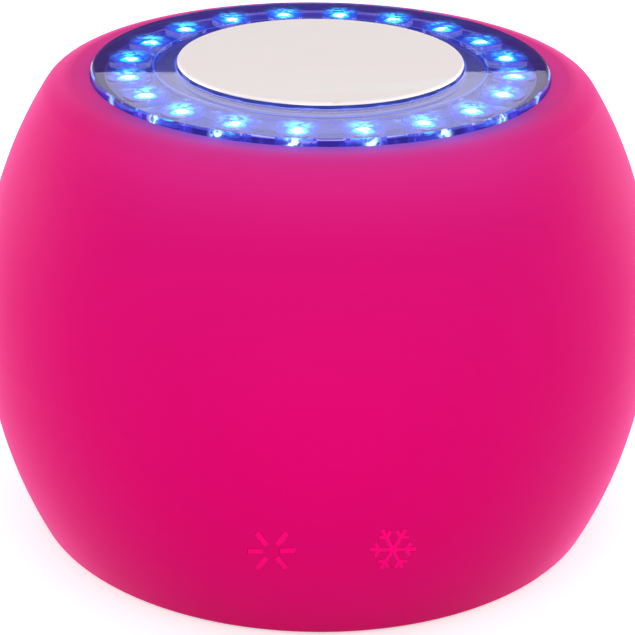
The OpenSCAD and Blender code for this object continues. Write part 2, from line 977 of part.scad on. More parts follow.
module frame_posts() {
    intersection() {
        at_corners(post_in + post_w / 2, post_in + post_w / 2)
            translate([-post_w / 2, -post_w / 2, shelf_z])
                cube([post_w, post_w, sink_top - shelf_z]);
        translate([0, 0, shelf_z])
            cylinder(r = frame_r, h = sink_top);
    }
}

module frame_shelf() {
    frame_square(shelf_z, shelf_t);
}

// A square plate whose corners are cut to the frame's round.
module frame_square(z, t) {
    intersection() {
        translate([-post_out, -post_out, z])
            cube([2 * post_out, 2 * post_out, t]);
        translate([0, 0, z - past])
            cylinder(r = frame_r, h = t + 2 * past);
    }
}

// Two tongues reach forward from the shelf and carry the key board.
module key_tongues() {
    for (s = [-1, 1])
        translate([s * (tongue_x + tongue_w / 2) - tongue_w / 2, key_board_back, tongue_low])
            cube([tongue_w, -key_board_back - post_in, fan_bottom - tongue_low]);
}

// A wall between the two posts on the motor's side carries the motor's holder.
module motor_wall() {
    translate([-post_out, -post_out, shelf_z])
        cube([motor_wall_t, 2 * post_out, holder_z + holder_h - shelf_z]);
}

module frame_holes() {
    opening = module_w + 6 * fit;
    translate([-opening / 2, -opening / 2, sink_top - past])
        cube([opening, opening, frame_top - sink_top + 2 * past]);
    translate([-notch_w / 2, 0, sink_top - past])
        cube([notch_w, belly_r, frame_top - sink_top + 2 * past]);
    at_corners(sink_hole_x, sink_hole_y)
        translate([0, 0, sink_top - past])
            cylinder(r = screw_r + fit / 2, h = sink_bite + fit + past, $fn = 32);
    at_four(ear_dist, ear_angle)
        translate([0, 0, sink_top - past])
            cylinder(r = screw_r + fit, h = frame_top - sink_top + 2 * past, $fn = 32);
    translate([0, 0, shelf_z - past])
        cylinder(r = fan_duct_r, h = shelf_t + 2 * past);
    at_corners(fan_hole_x, fan_hole_x)
        translate([0, 0, shelf_z - past])
            cylinder(r = fan_screw_r + fit, h = shelf_t + 2 * past, $fn = 32);
    for (s = [-1, 1]) {
        translate([s * key_screw_x, key_board_back - past, key_screw_z])
            rotate([-90, 0, 0])
                cylinder(r = screw_r + fit / 2, h = key_bite + 2 * pilot_spare + past, $fn = 32);
        translate([s * rear_screw_x, post_out + past, rear_screw_z])
            rotate([90, 0, 0])
                cylinder(r = screw_r + fit / 2, h = board_bite + pilot_spare + past, $fn = 32);
    }
}

module frame_screws() {
    color("silver")
        at_four(ear_dist, ear_angle)
            translate([0, 0, sink_top - screw_head_h])
                screw_up(screw_head_r, screw_head_h, screw_r, frame_top - sink_top + frame_bite);
}

// Fan

module fan_frame() {
    color("#26262a")
        translate([0, 0, fan_bottom]) {
            difference() {
                round_plate(fan_w, fan_w, fan_t, fan_round);
                translate([0, 0, -past])
                    cylinder(r = fan_duct_r, h = fan_t + 2 * past);
                at_corners(fan_hole_x, fan_hole_x)
                    translate([0, 0, -past])
                        cylinder(r = fan_screw_r + fit, h = fan_t + 2 * past, $fn = 32);
            }
            difference() {
                union() {
                    cylinder(r = hub_r, h = hub_floor_t);
                    for (i = [0:2])
                        rotate([0, 0, 90 + 120 * i])
                            translate([0, -strut_w / 2, 0])
                                cube([fan_duct_r + strut_root, strut_w, hub_floor_t]);
                    cylinder(r = tube_r, h = tube_h);
                }
                translate([0, 0, bearing_z])
                    cylinder(r = fan_shaft_r + bearing_wall, h = tube_h + past);
            }
        }
}

module fan_bearing() {
    color("#b5762a")
        translate([0, 0, fan_bottom + bearing_z])
            difference() {
                cylinder(r = fan_shaft_r + bearing_wall - tiny, h = bearing_h);
                translate([0, 0, -past])
                    cylinder(r = fan_shaft_r + running_fit, h = bearing_h + 2 * past);
            }
}

module fan_stator() {
    color("#c06a2c")
        translate([0, 0, fan_bottom + stator_z])
            difference() {
                union() {
                    cylinder(r = tube_r + stator_core, h = stator_h);
                    for (i = [0:3])
                        rotate([0, 0, 90 * i])
                            translate([0, -stator_pole_w / 2, 0])
                                cube([hub_r - rotor_wall - stator_gap, stator_pole_w, stator_h]);
                }
                translate([0, 0, -past])
                    cylinder(r = tube_r + tiny, h = stator_h + 2 * past);
            }
}

module fan_rotor() {
    rotor_h = fan_t - rotor_z - rotor_top_gap;
    color("#3a3a40")
        translate([0, 0, fan_bottom + rotor_z]) {
            difference() {
                cylinder(r = hub_r, h = rotor_h);
                translate([0, 0, -past])
                    cylinder(r = hub_r - rotor_wall, h = rotor_h + past - rotor_wall);
                translate([0, 0, -past])
                    cylinder(r = fan_shaft_r + tiny, h = rotor_h + 2 * past);
            }
            intersection() {
                difference() {
                    cylinder(r = fan_duct_r - blade_gap, h = rotor_h);
                    translate([0, 0, -past])
                        cylinder(r = hub_r - blade_root, h = rotor_h + 2 * past);
                }
                for (i = [0:blade_count - 1])
                    rotate([0, 0, 360 * i / blade_count])
                        translate([0, 0, rotor_h / 2])
                            rotate([blade_slope, 0, 0])
                                translate([0, -blade_chord / 2, -blade_t / 2])
                                    cube([fan_duct_r, blade_chord, blade_t]);
            }
        }
}

module fan_shaft() {
    color("silver")
        translate([0, 0, fan_bottom + shaft_z])
            cylinder(r = fan_shaft_r, h = fan_t - shaft_z - rotor_top_gap, $fn = 48);
}

module fan_screws() {
    color("silver")
        at_corners(fan_hole_x, fan_hole_x)
            translate([0, 0, shelf_z - screw_head_h])
                screw_up(fan_screw_r + fan_head_w, screw_head_h, fan_screw_r, fan_screw_l);
}

// Keys

// The part of a key behind the wall, with its icon standing out to the casing's surface.
module key_body(x) {
    translate([x - key_plate_w / 2, key_front, key_z - key_plate_h / 2])
        cube([key_plate_w, key_plate_t, key_plate_h]);
    intersection() {
        icon_prism(x, key_front + key_plate_t / 2)
            children();
        casing_solid();
    }
}

module heat_key() {
    color("#ff2f92")
        key_body(-key_x)
            heat_icon(0);
}

module cold_key() {
    color("#ff2f92")
        key_body(key_x)
            cold_icon(0);
}

module plunger(x) {
    translate([x, key_back, key_z])
        rotate([-90, 0, 0])
            cylinder(r = plunger_r, h = plunger_out + plunger_in, $fn = 32);
}

module heat_plunger() {
    color("#222222")
        plunger(-key_x);
}

module cold_plunger() {
    color("#222222")
        plunger(key_x);
}

module switch_body(x) {
    difference() {
        translate([x - switch_w / 2, switch_front, key_z - switch_w / 2])
            cube([switch_w, switch_t, switch_w]);
        translate([x, switch_front - past, key_z])
            rotate([-90, 0, 0])
                cylinder(r = plunger_r + running_fit, h = past + plunger_in + key_travel + fit, $fn = 32);
    }
}

module heat_switch() {
    color("#9a9da3")
        switch_body(-key_x);
}

module cold_switch() {
    color("#9a9da3")
        switch_body(key_x);
}

module key_board() {
    color("#1f6b3a")
        difference() {
            translate([-key_board_w / 2, key_board_front, key_board_low])
                cube([key_board_w, board_t, key_board_high - key_board_low]);
            for (s = [-1, 1])
                translate([s * key_screw_x, key_board_front - past, key_screw_z])
                    rotate([-90, 0, 0])
                        cylinder(r = screw_r + fit, h = board_t + 2 * past, $fn = 32);
        }
}

module indicator_leds() {
    color("#ffd9e8")
        for (s = [-1, 1])
            translate([
                s * key_x - indicator_size[0] / 2,
                key_board_front - indicator_size[1],
                key_z - switch_w / 2 - indicator_drop
            ])
                cube(indicator_size);
}

module key_board_screws() {
    color("silver")
        for (s = [-1, 1])
            translate([s * key_screw_x, key_board_front - small_head_h, key_screw_z])
                rotate([-90, 0, 0])
                    screw_up(board_head_r, small_head_h, screw_r, board_t + key_bite);
}

// Battery

module battery_cell() {
    color("#b9bcc2")
        translate([battery_x + battery_t / 2, 0, battery_z])
            round_plate(battery_t, battery_w, battery_h, battery_round);
}

module battery_board() {
    color("#1f6b3a")
        translate([
            battery_x + battery_board_inset[0],
            -battery_w / 2 + battery_board_inset[1],
            battery_top
        ])
            cube([
                battery_t - 2 * battery_board_inset[0],
                battery_w - 2 * battery_board_inset[1],
                battery_board_t
            ]);
}

// Two strips lap the flat of the cell's inner face and the posts beside it.
module battery_tape() {
    color("#f1e7c8")
        for (s = [0, 1])
            mirror([0, s, 0])
                translate([post_out, tape_in, battery_z + tape_above])
                    cube([tape_t, tape_out - tape_in, battery_h - tape_above - tape_below]);
}

// Vibration motor

module motor_holder() {
    color("#4a4a4f")
        difference() {
            translate([motor_x - motor_r - holder_wall, -motor_r - holder_wall, holder_z])
                cube([-motor_x + motor_r + holder_wall - post_out, 2 * (motor_r + holder_wall), holder_h]);
            translate([motor_x, 0, holder_z - past])
                cylinder(r = motor_r + tiny, h = holder_h + 2 * past);
        }
}

module motor_can() {
    color("silver")
        translate([motor_x, 0, motor_bottom])
            difference() {
                cylinder(r = motor_r, h = motor_l - motor_cap_t);
                translate([0, 0, -past])
                    cylinder(r = motor_shaft_r + running_fit, h = motor_l - motor_cap_t + 2 * past, $fn = 48);
            }
}

module motor_cap() {
    color("#ddd6c2")
        translate([motor_x, 0, motor_top - motor_cap_t])
            cylinder(r = motor_r, h = motor_cap_t);
}

module motor_shaft() {
    color("#8f939a")
        translate([motor_x, 0, weight_bottom])
            cylinder(r = motor_shaft_r, h = motor_shaft_l, $fn = 48);
}

module eccentric_weight() {
    color("#6d7076")
        translate([motor_x, 0, weight_bottom])
            difference() {
                union() {
                    cylinder(r = motor_shaft_r + weight_hub_wall, h = weight_l, $fn = 48);
                    intersection() {
                        cylinder(r = weight_r, h = weight_l);
                        translate([-weight_r, 0, 0])
                            cube([2 * weight_r, weight_r, weight_l]);
                    }
                }
                translate([0, 0, -past])
                    cylinder(r = motor_shaft_r + tiny, h = weight_l + 2 * past, $fn = 48);
            }
}

// Rear board and socket

module main_board() {
    color("#1f6b3a")
        difference() {
            translate([-rear_board_w / 2, post_out, rear_board_low])
                cube([rear_board_w, board_t, rear_board_high - rear_board_low]);
            for (s = [-1, 1])
                translate([s * rear_screw_x, rear_face + past, rear_screw_z])
                    rotate([90, 0, 0])
                        cylinder(r = screw_r + fit, h = board_t + 2 * past, $fn = 32);
        }
}

// A small block that stands out of the rear board's outer face.
module board_block(x, z, w, h, t) {
    translate([x - w / 2, rear_face, z - h / 2])
        cube([w, t, h]);
}

module board_parts() {
    mid_z = (rear_board_low + rear_board_high) / 2;
    color("#2d2d30") {
        board_block(-chip_x, mid_z, chip_w, chip_w, chip_t);
        board_block(chip_x, mid_z - coil_w / 3, coil_w, coil_w, coil_t);
        board_block(chip_x, mid_z + 0.8 * coil_w, 2 * small_l, small_l, small_t);
        board_block(-chip_x, mid_z - 0.9 * chip_w, small_l, small_w, small_t);
        board_block(-chip_x + 0.75 * chip_w, mid_z + small_l, small_w, small_l, small_t);
        board_block(-chip_x - 0.85 * chip_w, mid_z - small_l, small_l, 1.5 * small_l, chip_t);
        board_block(chip_x + coil_w, mid_z - small_l, small_w, small_l, chip_t);
    }
}

module board_screws() {
    color("silver")
        for (s = [-1, 1])
            translate([s * rear_screw_x, rear_face + small_head_h, rear_screw_z])
                rotate([90, 0, 0])
                    screw_up(board_head_r, small_head_h, screw_r, board_t + board_bite);
}

module charge_jack() {
    color("#1b1b1d")
        difference() {
            union() {
                translate([-jack_body_w / 2, rear_face, jack_z - jack_body_w / 2])
                    cube([jack_body_w, jack_body_end - rear_face, jack_body_w]);
                translate([0, jack_body_end - past, jack_z])
                    rotate([-90, 0, 0])
                        cylinder(r = jack_nose_r, h = jack_mouth - jack_body_end + past);
            }
            translate([0, jack_mouth - jack_bore_l, jack_z])
                rotate([-90, 0, 0])
                    cylinder(r = jack_bore_r, h = jack_bore_l + past);
        }
}

// Wires

module battery_wires() {
    x = battery_x + battery_t / 2;
    y = battery_w / 2 - battery_board_inset[1];
    z = battery_top + battery_board_t / 2;
    board_x = wire_pad_x;
    for (s = [-1, 1]) {
        color(s < 0 ? "#b3202a" : "#222222")
            wire([
                [x + s * 0.6, y, z],
                [x + s * 0.6, y + 2.4, z + 0.4],
                [x - 1 + s * 0.55, y + 6.2, z - 3 - s * 0.3],
                [board_x + 2.2 + s * 0.5, rear_face + 2.2, rear_board_high + 1 - s * 0.45],
                [board_x + 0.2 + s * 0.3, rear_face + 1.6, rear_board_high - 4 - s * 0.55],
                [board_x + s * 0.2, rear_face, rear_board_high - 4.4 - s * 0.55]
            ], wire_r, [0, 1, 0], [0, -1, 0]);
    }
}

module peltier_wires() {
    z = module_bottom + ceramic_t / 2;
    out_y = led_board_r + 1.3;
    for (s = [-1, 1]) {
        color(s < 0 ? "#b3202a" : "#222222")
            wire([
                [s * 1.7, module_w / 2, z],
                [s * 1.7, out_y - 3, z],
                [s * 1.7, out_y - 0.4, z - 0.7],
                [s * 2.2, out_y + 0.4, z - 5],
                [s * 3, out_y + 0.2, rear_board_high + 2],
                [s * 3, rear_face + 0.9, rear_board_high - 1.3],
                [s * 3, rear_face, rear_board_high - 1.5]
            ], thin_wire_r, [0, 1, 0], [0, -1, 0]);
    }
}

module led_wires() {
    for (s = [-1, 1]) {
        color(s < 0 ? "#3a5fc0" : "#222222")
            wire([
                [s * 0.5, led_board_r - 1.2, frame_top],
                [s * 0.5, led_board_r - 1.1, frame_top - 1.4],
                [s * 0.5, led_board_r - 0.6, frame_top - 5],
                [s * 0.5, rear_face + 1.5, rear_board_high + 2],
                [s * 0.5, rear_face + 0.9, rear_board_high - 1.3],
                [s * 0.5, rear_face, rear_board_high - 1.5]
            ], thin_wire_r, [0, 0, -1], [0, -1, 0]);
    }
}

module fan_wires() {
    for (i = [0, 1]) {
        x = hub_r + 0.4 + 0.9 * i;
        color(i == 0 ? "#b3202a" : "#222222")
            wire([
                [x, fan_w / 2, fan_bottom + 2],
                [x, fan_w / 2 + 0.8, fan_bottom + 2],
                [x, post_out - 0.8, fan_bottom + 3],
                [x, post_out, fan_bottom + 3]
            ], thin_wire_r, [0, 1, 0], [0, 1, 0]);
    }
}

module motor_wires() {
    board_x = -wire_pad_x;
    for (s = [-1, 1]) {
        color(s < 0 ? "#b3202a" : "#222222")
            wire([
                [motor_x + s * 0.6, 1, motor_top],
                [motor_x + s * 0.6, 1.6, motor_top + 1.8],
                [motor_x + s * 0.6, 7, motor_top + 2.4],
                [motor_x + 0.8 + s * 0.5, 14, motor_top - 1],
                [board_x - 1.8 + s * 0.3, rear_face + 2, rear_board_high - 1 + s * 0.4],
                [board_x - 0.2, rear_face + 1.4, rear_board_high - 4.6 + s * 0.6],
                [board_x, rear_face, rear_board_high - 5 + s * 0.6]
            ], thin_wire_r, [0, 0, 1], [0, -1, 0]);
    }
}

module key_wires() {
    side_x = post_out - 2;
    for (i = [0:2]) {
        z = shelf_z - 3.4 + 0.75 * i;
        color("#8a8f98")
            wire([
                [-key_x - post_w, key_board_back, z],
                [-key_x - post_w, key_board_back + 1.6, z],
                [-key_x - 1.4 * post_w, -post_in, z],
                [-side_x + 0.6, -fan_hole_x + 2.5, z],
                [-side_x, 0, z],
                [-side_x + 0.6, fan_hole_x - 2.5, z],
                [-key_x - 1.7 * post_w, post_out - 1.8, z],
                [-key_x - 1.5 * post_w, post_out, z]
            ], thin_wire_r, [0, 1, 0], [0, 1, 0]);
    }
}

outer_shell();
base_cover();
foot_ring();
base_screws();
light_window();
led_board();
led_packages();
led_lenses();
contact_plate();
plate_seal();
temperature_sensor();
thermal_pads();
peltier_top_plate();
peltier_pellets();
peltier_bottom_plate();
heat_sink();
sink_screws();
inner_frame();
frame_screws();
fan_frame();
fan_bearing();
fan_stator();
fan_rotor();
fan_shaft();
fan_screws();
heat_key();
cold_key();
heat_plunger();
cold_plunger();
heat_switch();
cold_switch();
key_board();
indicator_leds();
key_board_screws();
battery_cell();
battery_board();
battery_tape();
motor_holder();
motor_can();
motor_cap();
motor_shaft();
eccentric_weight();
main_board();
board_parts();
board_screws();
charge_jack();
battery_wires();
peltier_wires();
led_wires();
fan_wires();
motor_wires();
key_wires();
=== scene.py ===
"""Looks of a palm-sized facial massager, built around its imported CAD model.

A round soft-touch casing carries a clear ring, lit by a circle of small lamps, round a
satin contact plate. Two keys stand in the front as a sun and a snowflake. Inside are the
cooling module, its heat sink and fan, a vibration motor, a battery and the boards.
"""

import json
import logging
import math
from dataclasses import dataclass
from enum import Enum
from typing import Optional, Sequence, Union

import bmesh
import bpy
from mathutils import Matrix, Vector


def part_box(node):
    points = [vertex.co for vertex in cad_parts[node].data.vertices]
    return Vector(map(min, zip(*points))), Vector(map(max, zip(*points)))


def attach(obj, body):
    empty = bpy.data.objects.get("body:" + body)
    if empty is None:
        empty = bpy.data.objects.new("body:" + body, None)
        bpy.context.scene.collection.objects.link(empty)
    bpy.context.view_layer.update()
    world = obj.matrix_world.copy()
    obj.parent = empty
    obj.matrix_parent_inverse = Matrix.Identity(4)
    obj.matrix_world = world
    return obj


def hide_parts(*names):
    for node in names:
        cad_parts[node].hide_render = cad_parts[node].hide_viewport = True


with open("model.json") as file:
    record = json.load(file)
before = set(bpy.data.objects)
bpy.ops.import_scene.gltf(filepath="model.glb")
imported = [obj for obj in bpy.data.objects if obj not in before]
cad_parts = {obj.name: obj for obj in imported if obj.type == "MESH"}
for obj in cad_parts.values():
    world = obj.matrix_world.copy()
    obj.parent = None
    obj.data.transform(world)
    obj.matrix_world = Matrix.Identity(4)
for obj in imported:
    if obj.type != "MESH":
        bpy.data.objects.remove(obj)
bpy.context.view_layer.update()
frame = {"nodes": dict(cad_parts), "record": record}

log = logging.getLogger("facial_massager")

Rgb = tuple[float, float, float]
Point = tuple[float, float, float]
Socket = bpy.types.NodeSocket
Value = Union[float, Sequence[float], Socket]

MM = 0.001
PHOTO_SIDE = 635
SENSOR_WIDTH = 36.0
LAMP_COUNT = 20
LAMP_CIRCLE_MM = 16.65
RING_RIM_MM = 19.75
RING_TOP_MM = 41.3
UNDER_RING_MM = 30.0
WAVE_BANDS = 20 / math.tau
NO_LIGHT: Rgb = (0.0, 0.0, 0.0)
WHITE: Rgb = (1.0, 1.0, 1.0)


class Slot(Enum):
    """The material slots that the part's record names."""

    SHELL = "shell_pink"
    COVER = "cover_pink"
    KEY = "key_pink"
    FOOT = "foot_rubber"
    RING = "clear_ring"
    PLATE = "plate_metal"
    SEAL = "seal_silicone"
    LAMP_BOARD = "led_board"
    LAMP_BODY = "led_body"
    LAMP_LENS = "led_glow"
    BOARD = "board_green"
    BLACK = "black_plastic"
    FRAME = "frame_white"
    METAL = "bare_metal"
    SINK = "sink_metal"
    CERAMIC = "ceramic"
    PAD = "pad_grey"
    PELLET = "pellet_dark"
    BRONZE = "bronze"
    COIL = "copper_coil"
    WEIGHT = "weight_metal"
    FOIL = "battery_foil"
    TAPE = "tape"
    NYLON = "nylon"
    WIRE = "wire_skin"


class Body(Enum):
    """The bodies that the part's joints move."""

    CASING = "casing"
    HEAT_KEY = "heat_key_body"
    COLD_KEY = "cold_key_body"
    FAN_ROTOR = "fan_rotor_body"
    MOTOR_ROTOR = "motor_rotor_body"


# Shader graphs


class Graph:
    """A shader node tree, with short calls that add nodes and join them."""

    def __init__(self, tree: bpy.types.NodeTree) -> None:
        """Starts on an empty tree.

        Args:
            tree: the node tree of a material, a world or a group.
        """
        self.tree = tree
        tree.nodes.clear()

    def feed(self, socket: Socket, value: Value) -> None:
        """Joins a socket to a value's source, or sets it.

        Args:
            socket: the input socket.
            value: another node's output, or a constant.
        """
        if isinstance(value, bpy.types.NodeSocket):
            self.tree.links.new(value, socket)
        elif socket.type == "RGBA" and len(value) == 3:
            socket.default_value = (*value, 1.0)
        else:
            socket.default_value = value

    def add(self, kind: str, inputs: Optional[dict] = None, **settings) -> bpy.types.Node:
        """Adds a node.

        Args:
            kind: the node's type name.
            inputs: values for its inputs, by socket name or index.
            settings: values for the node's own properties.

        Returns:
            The new node.
        """
        node = self.tree.nodes.new(kind)
        for name, value in settings.items():
            setattr(node, name, value)
        for key, value in (inputs or {}).items():
            self.feed(node.inputs[key], value)
        return node

    def math(self, operation: str, *values: Value, clamp: bool = False) -> Socket:
        """Adds a Math node.

        Args:
            operation: the operation's name.
            values: its one to three inputs.
            clamp: True keeps the result from 0 to 1.

        Returns:
            The result's socket.
        """
        inputs = dict(enumerate(values))
        node = self.add("ShaderNodeMath", inputs, operation=operation, use_clamp=clamp)
        return node.outputs[0]

    def blend(self, factor: Value, first: Value, second: Value, mode: str = "MIX") -> Socket:
        """Mixes two colours.

        Args:
            factor: the share of the second colour.
            first: the colour at factor 0.
            second: the colour at factor 1.
            mode: the blend mode.

        Returns:
            The mixed colour's socket.
        """
        node = self.add("ShaderNodeMix", data_type="RGBA", blend_type=mode)
        for index, value in ((0, factor), (6, first), (7, second)):
            self.feed(node.inputs[index], value)
        return node.outputs[2]

    def remap(self, value: Value, low: float, high: float, to_low: float, to_high: float) -> Socket:
        """Moves a value from one range to another, held at the ends.

        Args:
            value: the value.
            low: the start of its range.
            high: the end of its range.
            to_low: the result at low.
            to_high: the result at high.

        Returns:
            The result's socket.
        """
        inputs = {0: value, 1: low, 2: high, 3: to_low, 4: to_high}
        return self.add("ShaderNodeMapRange", inputs).outputs[0]

    def place(self) -> Socket:
        """The shaded point's place in the part's frame, in metres."""
        return self.add("ShaderNodeTexCoord").outputs["Object"]

    def group(self, tree: bpy.types.NodeTree, **inputs: Value) -> bpy.types.Node:
        """Places a node group.

        Args:
            tree: the group's tree.
            inputs: its inputs, with spaces in their names written as underscores.

        Returns:
            The group's node.
        """
        node = self.add("ShaderNodeGroup", node_tree=tree)
        for name, value in inputs.items():
            self.feed(node.inputs[name.replace("_", " ")], value)
        return node


class Effects:
    """The effects that more than one material uses, each a node group built once."""

    def __init__(self) -> None:
        """Builds every group."""
        self.mottle = self._mottle()
        self.grain = self._grain()
        self.edge_wear = self._edge_wear()
        self.turned = self._turned()
        self.flicker = self._flicker()
        self.lamp_spots = self._lamp_spots()

    @staticmethod
    def _open(name: str, inputs: dict, outputs: dict) -> tuple[Graph, bpy.types.Node, bpy.types.Node]:
        """Starts a group.

        Args:
            name: the group's name.
            inputs: each input's default value, by name.
            outputs: each output's kind, by name.

        Returns:
            The group's graph, its input node and its output node.
        """
        tree = bpy.data.node_groups.new(name, "ShaderNodeTree")
        for label, default in inputs.items():
            kind = "NodeSocketFloat" if isinstance(default, float) else "NodeSocketColor"
            socket = tree.interface.new_socket(label, in_out="INPUT", socket_type=kind)
            socket.default_value = default if isinstance(default, float) else (*default, 1.0)
        for label, kind in outputs.items():
            tree.interface.new_socket(label, in_out="OUTPUT", socket_type=kind)
        graph = Graph(tree)
        return graph, graph.add("NodeGroupInput"), graph.add("NodeGroupOutput")

    def _mottle(self) -> bpy.types.NodeTree:
        """Two tones that drift into each other over the surface.

        Returns:
            The group's tree.
        """
        graph, given, result = self._open(
            "Mottle",
            {"Main Tone": (0.5, 0.5, 0.5), "Other Tone": (0.4, 0.4, 0.4), "Patch mm": 8.0, "Contrast": 1.0},
            {"Color": "NodeSocketColor"},
        )
        scale = graph.math("DIVIDE", 1 / MM, given.outputs["Patch mm"])
        noise = graph.add("ShaderNodeTexNoise", {"Vector": graph.place(), "Scale": scale, "Detail": 4.0})
        share = graph.math("SUBTRACT", noise.outputs[0], 0.5)
        share = graph.math("MULTIPLY_ADD", share, given.outputs["Contrast"], 0.5, clamp=True)
        mixed = graph.blend(share, given.outputs["Main Tone"], given.outputs["Other Tone"])
        graph.feed(result.inputs["Color"], mixed)
        return graph.tree

    def _grain(self) -> bpy.types.NodeTree:
        """The fine grain of a moulded, blasted or painted surface.

        Returns:
            The group's tree.
        """
        graph, given, result = self._open(
            "Fine Grain", {"Grain mm": 0.3, "Flatness": 1.0}, {"Height": "NodeSocketFloat"}
        )
        scale = graph.math("DIVIDE", 1 / MM, given.outputs["Grain mm"])
        combine = graph.add("ShaderNodeCombineXYZ", {0: 1.0, 1: 1.0, 2: given.outputs["Flatness"]})
        stretch = {0: graph.place(), 1: combine.outputs[0]}
        place = graph.add("ShaderNodeVectorMath", stretch, operation="MULTIPLY")
        noise = graph.add("ShaderNodeTexNoise", {"Vector": place.outputs[0], "Scale": scale, "Detail": 3.0})
        graph.feed(result.inputs["Height"], noise.outputs[0])
        return graph.tree

    def _edge_wear(self) -> bpy.types.NodeTree:
        """A mask that is bright along raised edges, broken up by a fine noise.

        Returns:
            The group's tree.
        """
        graph, given, result = self._open(
            "Edge Wear", {"Start": 0.52, "End": 0.6, "Patch mm": 1.5}, {"Mask": "NodeSocketFloat"}
        )
        edge = graph.add("ShaderNodeNewGeometry").outputs["Pointiness"]
        span = graph.math("SUBTRACT", given.outputs["End"], given.outputs["Start"])
        raised = graph.math("SUBTRACT", edge, given.outputs["Start"])
        raised = graph.math("DIVIDE", raised, span, clamp=True)
        scale = graph.math("DIVIDE", 1 / MM, given.outputs["Patch mm"])
        noise = graph.add("ShaderNodeTexNoise", {"Vector": graph.place(), "Scale": scale, "Detail": 2.0})
        graph.feed(result.inputs["Mask"], graph.math("MULTIPLY", raised, noise.outputs[0]))
        return graph.tree

    def _turned(self) -> bpy.types.NodeTree:
        """The rings that a cutting tool leaves round the part's upright axis.

        Returns:
            The group's tree.
        """
        graph, given, result = self._open("Turned Rings", {"Pitch mm": 0.2}, {"Height": "NodeSocketFloat"})
        flat = graph.add("ShaderNodeVectorMath", {0: graph.place(), 1: (1, 1, 0)}, operation="MULTIPLY")
        radius = graph.add("ShaderNodeVectorMath", {0: flat.outputs[0]}, operation="LENGTH")
        pitch = graph.math("MULTIPLY", given.outputs["Pitch mm"], MM)
        turns = graph.math("DIVIDE", radius.outputs["Value"], pitch)
        line = {"W": turns, "Scale": 1.0, "Detail": 2.0}
        noise = graph.add("ShaderNodeTexNoise", line, noise_dimensions="1D")
        graph.feed(result.inputs["Height"], noise.outputs[0])
        return graph.tree

    def _flicker(self) -> bpy.types.NodeTree:
        """An uneven share that breaks a lamp's image into shreds.

        Returns:
            The group's tree.
        """
        graph, given, result = self._open(
            "Flicker",
            {"Per mm": 2.0, "Detail": 1.0, "Low": 0.4, "High": 0.6, "Dark": 0.1, "Bright": 1.1},
            {"Share": "NodeSocketFloat"},
        )
        scale = graph.math("DIVIDE", given.outputs["Per mm"], MM)
        spread = {"Vector": graph.place(), "Scale": scale, "Detail": given.outputs["Detail"]}
        noise = graph.add("ShaderNodeTexNoise", spread).outputs[0]
        low, high, dark, bright = (given.outputs[name] for name in ("Low", "High", "Dark", "Bright"))
        graph.feed(result.inputs["Share"], graph.remap(noise, low, high, dark, bright))
        return graph.tree

    def _lamp_spots(self) -> bpy.types.NodeTree:
        """Soft spots round the part's axis, one over each lamp, and 1 in front to -1 behind.

        Returns:
            The group's tree.
        """
        graph, given, result = self._open(
            "Lamp Spots",
            {
                "Count": float(LAMP_COUNT),
                "Circle mm": LAMP_CIRCLE_MM,
                "Radial mm": 1.5,
                "Sideways mm": 1.5,
                "Height mm": UNDER_RING_MM,
            },
            {"Mask": "NodeSocketFloat", "Band": "NodeSocketFloat", "Front": "NodeSocketFloat"},
        )
        parts = graph.add("ShaderNodeSeparateXYZ", {0: graph.place()})
        east, north, up = (graph.math("DIVIDE", parts.outputs[axis], MM) for axis in range(3))
        squares = graph.math("ADD", graph.math("MULTIPLY", east, east), graph.math("MULTIPLY", north, north))
        radius = graph.math("SQRT", squares)
        turn = graph.math("ARCTAN2", north, east)
        step = graph.math("DIVIDE", math.tau, given.outputs["Count"])
        off = graph.math("SUBTRACT", graph.math("FRACT", graph.math("DIVIDE", turn, step)), 0.5)
        sideways = graph.math("MULTIPLY", graph.math("MULTIPLY", off, step), radius)
        outward = graph.math("SUBTRACT", radius, given.outputs["Circle mm"])
        rise = graph.math("MAXIMUM", graph.math("SUBTRACT", given.outputs["Height mm"], up), 0.0)
        reach = graph.math("MULTIPLY", outward, outward)
        across = graph.math("DIVIDE", sideways, given.outputs["Sideways mm"])
        spread = given.outputs["Radial mm"]
        along = graph.math("DIVIDE", reach, graph.math("MULTIPLY", spread, spread))
        low = graph.math("DIVIDE", rise, spread)
        along = graph.math("ADD", along, graph.math("MULTIPLY", low, low))
        both = graph.math("ADD", along, graph.math("MULTIPLY", across, across))
        graph.feed(result.inputs["Mask"], graph.math("EXPONENT", graph.math("MULTIPLY", both, -1.0)))
        graph.feed(result.inputs["Band"], graph.math("EXPONENT", graph.math("MULTIPLY", along, -1.0)))
        graph.feed(result.inputs["Front"], graph.math("DIVIDE", graph.math("MULTIPLY", north, -1.0), radius))
        return graph.tree


@dataclass(frozen=True)
class Spots:
    """Where the light or the image of each lamp lies.

    Attributes:
        radial_mm: how far a spot reaches across the circle.
        sideways_mm: how far it reaches along the circle.
        circle_mm: the radius of the circle.
        height_mm: the height below which the spots fade.
    """

    radial_mm: float
    sideways_mm: float = 1.5
    circle_mm: float = LAMP_CIRCLE_MM
    height_mm: float = UNDER_RING_MM

    def lay(self, graph: Graph, effects: Effects) -> bpy.types.Node:
        """Places the shared group of lamp spots in a material.

        Args:
            graph: the material's graph.
            effects: the shared node groups.

        Returns:
            The group's node.
        """
        return graph.group(
            effects.lamp_spots,
            Circle_mm=self.circle_mm,
            Radial_mm=self.radial_mm,
            Sideways_mm=self.sideways_mm,
            Height_mm=self.height_mm,
        )


# Finishes


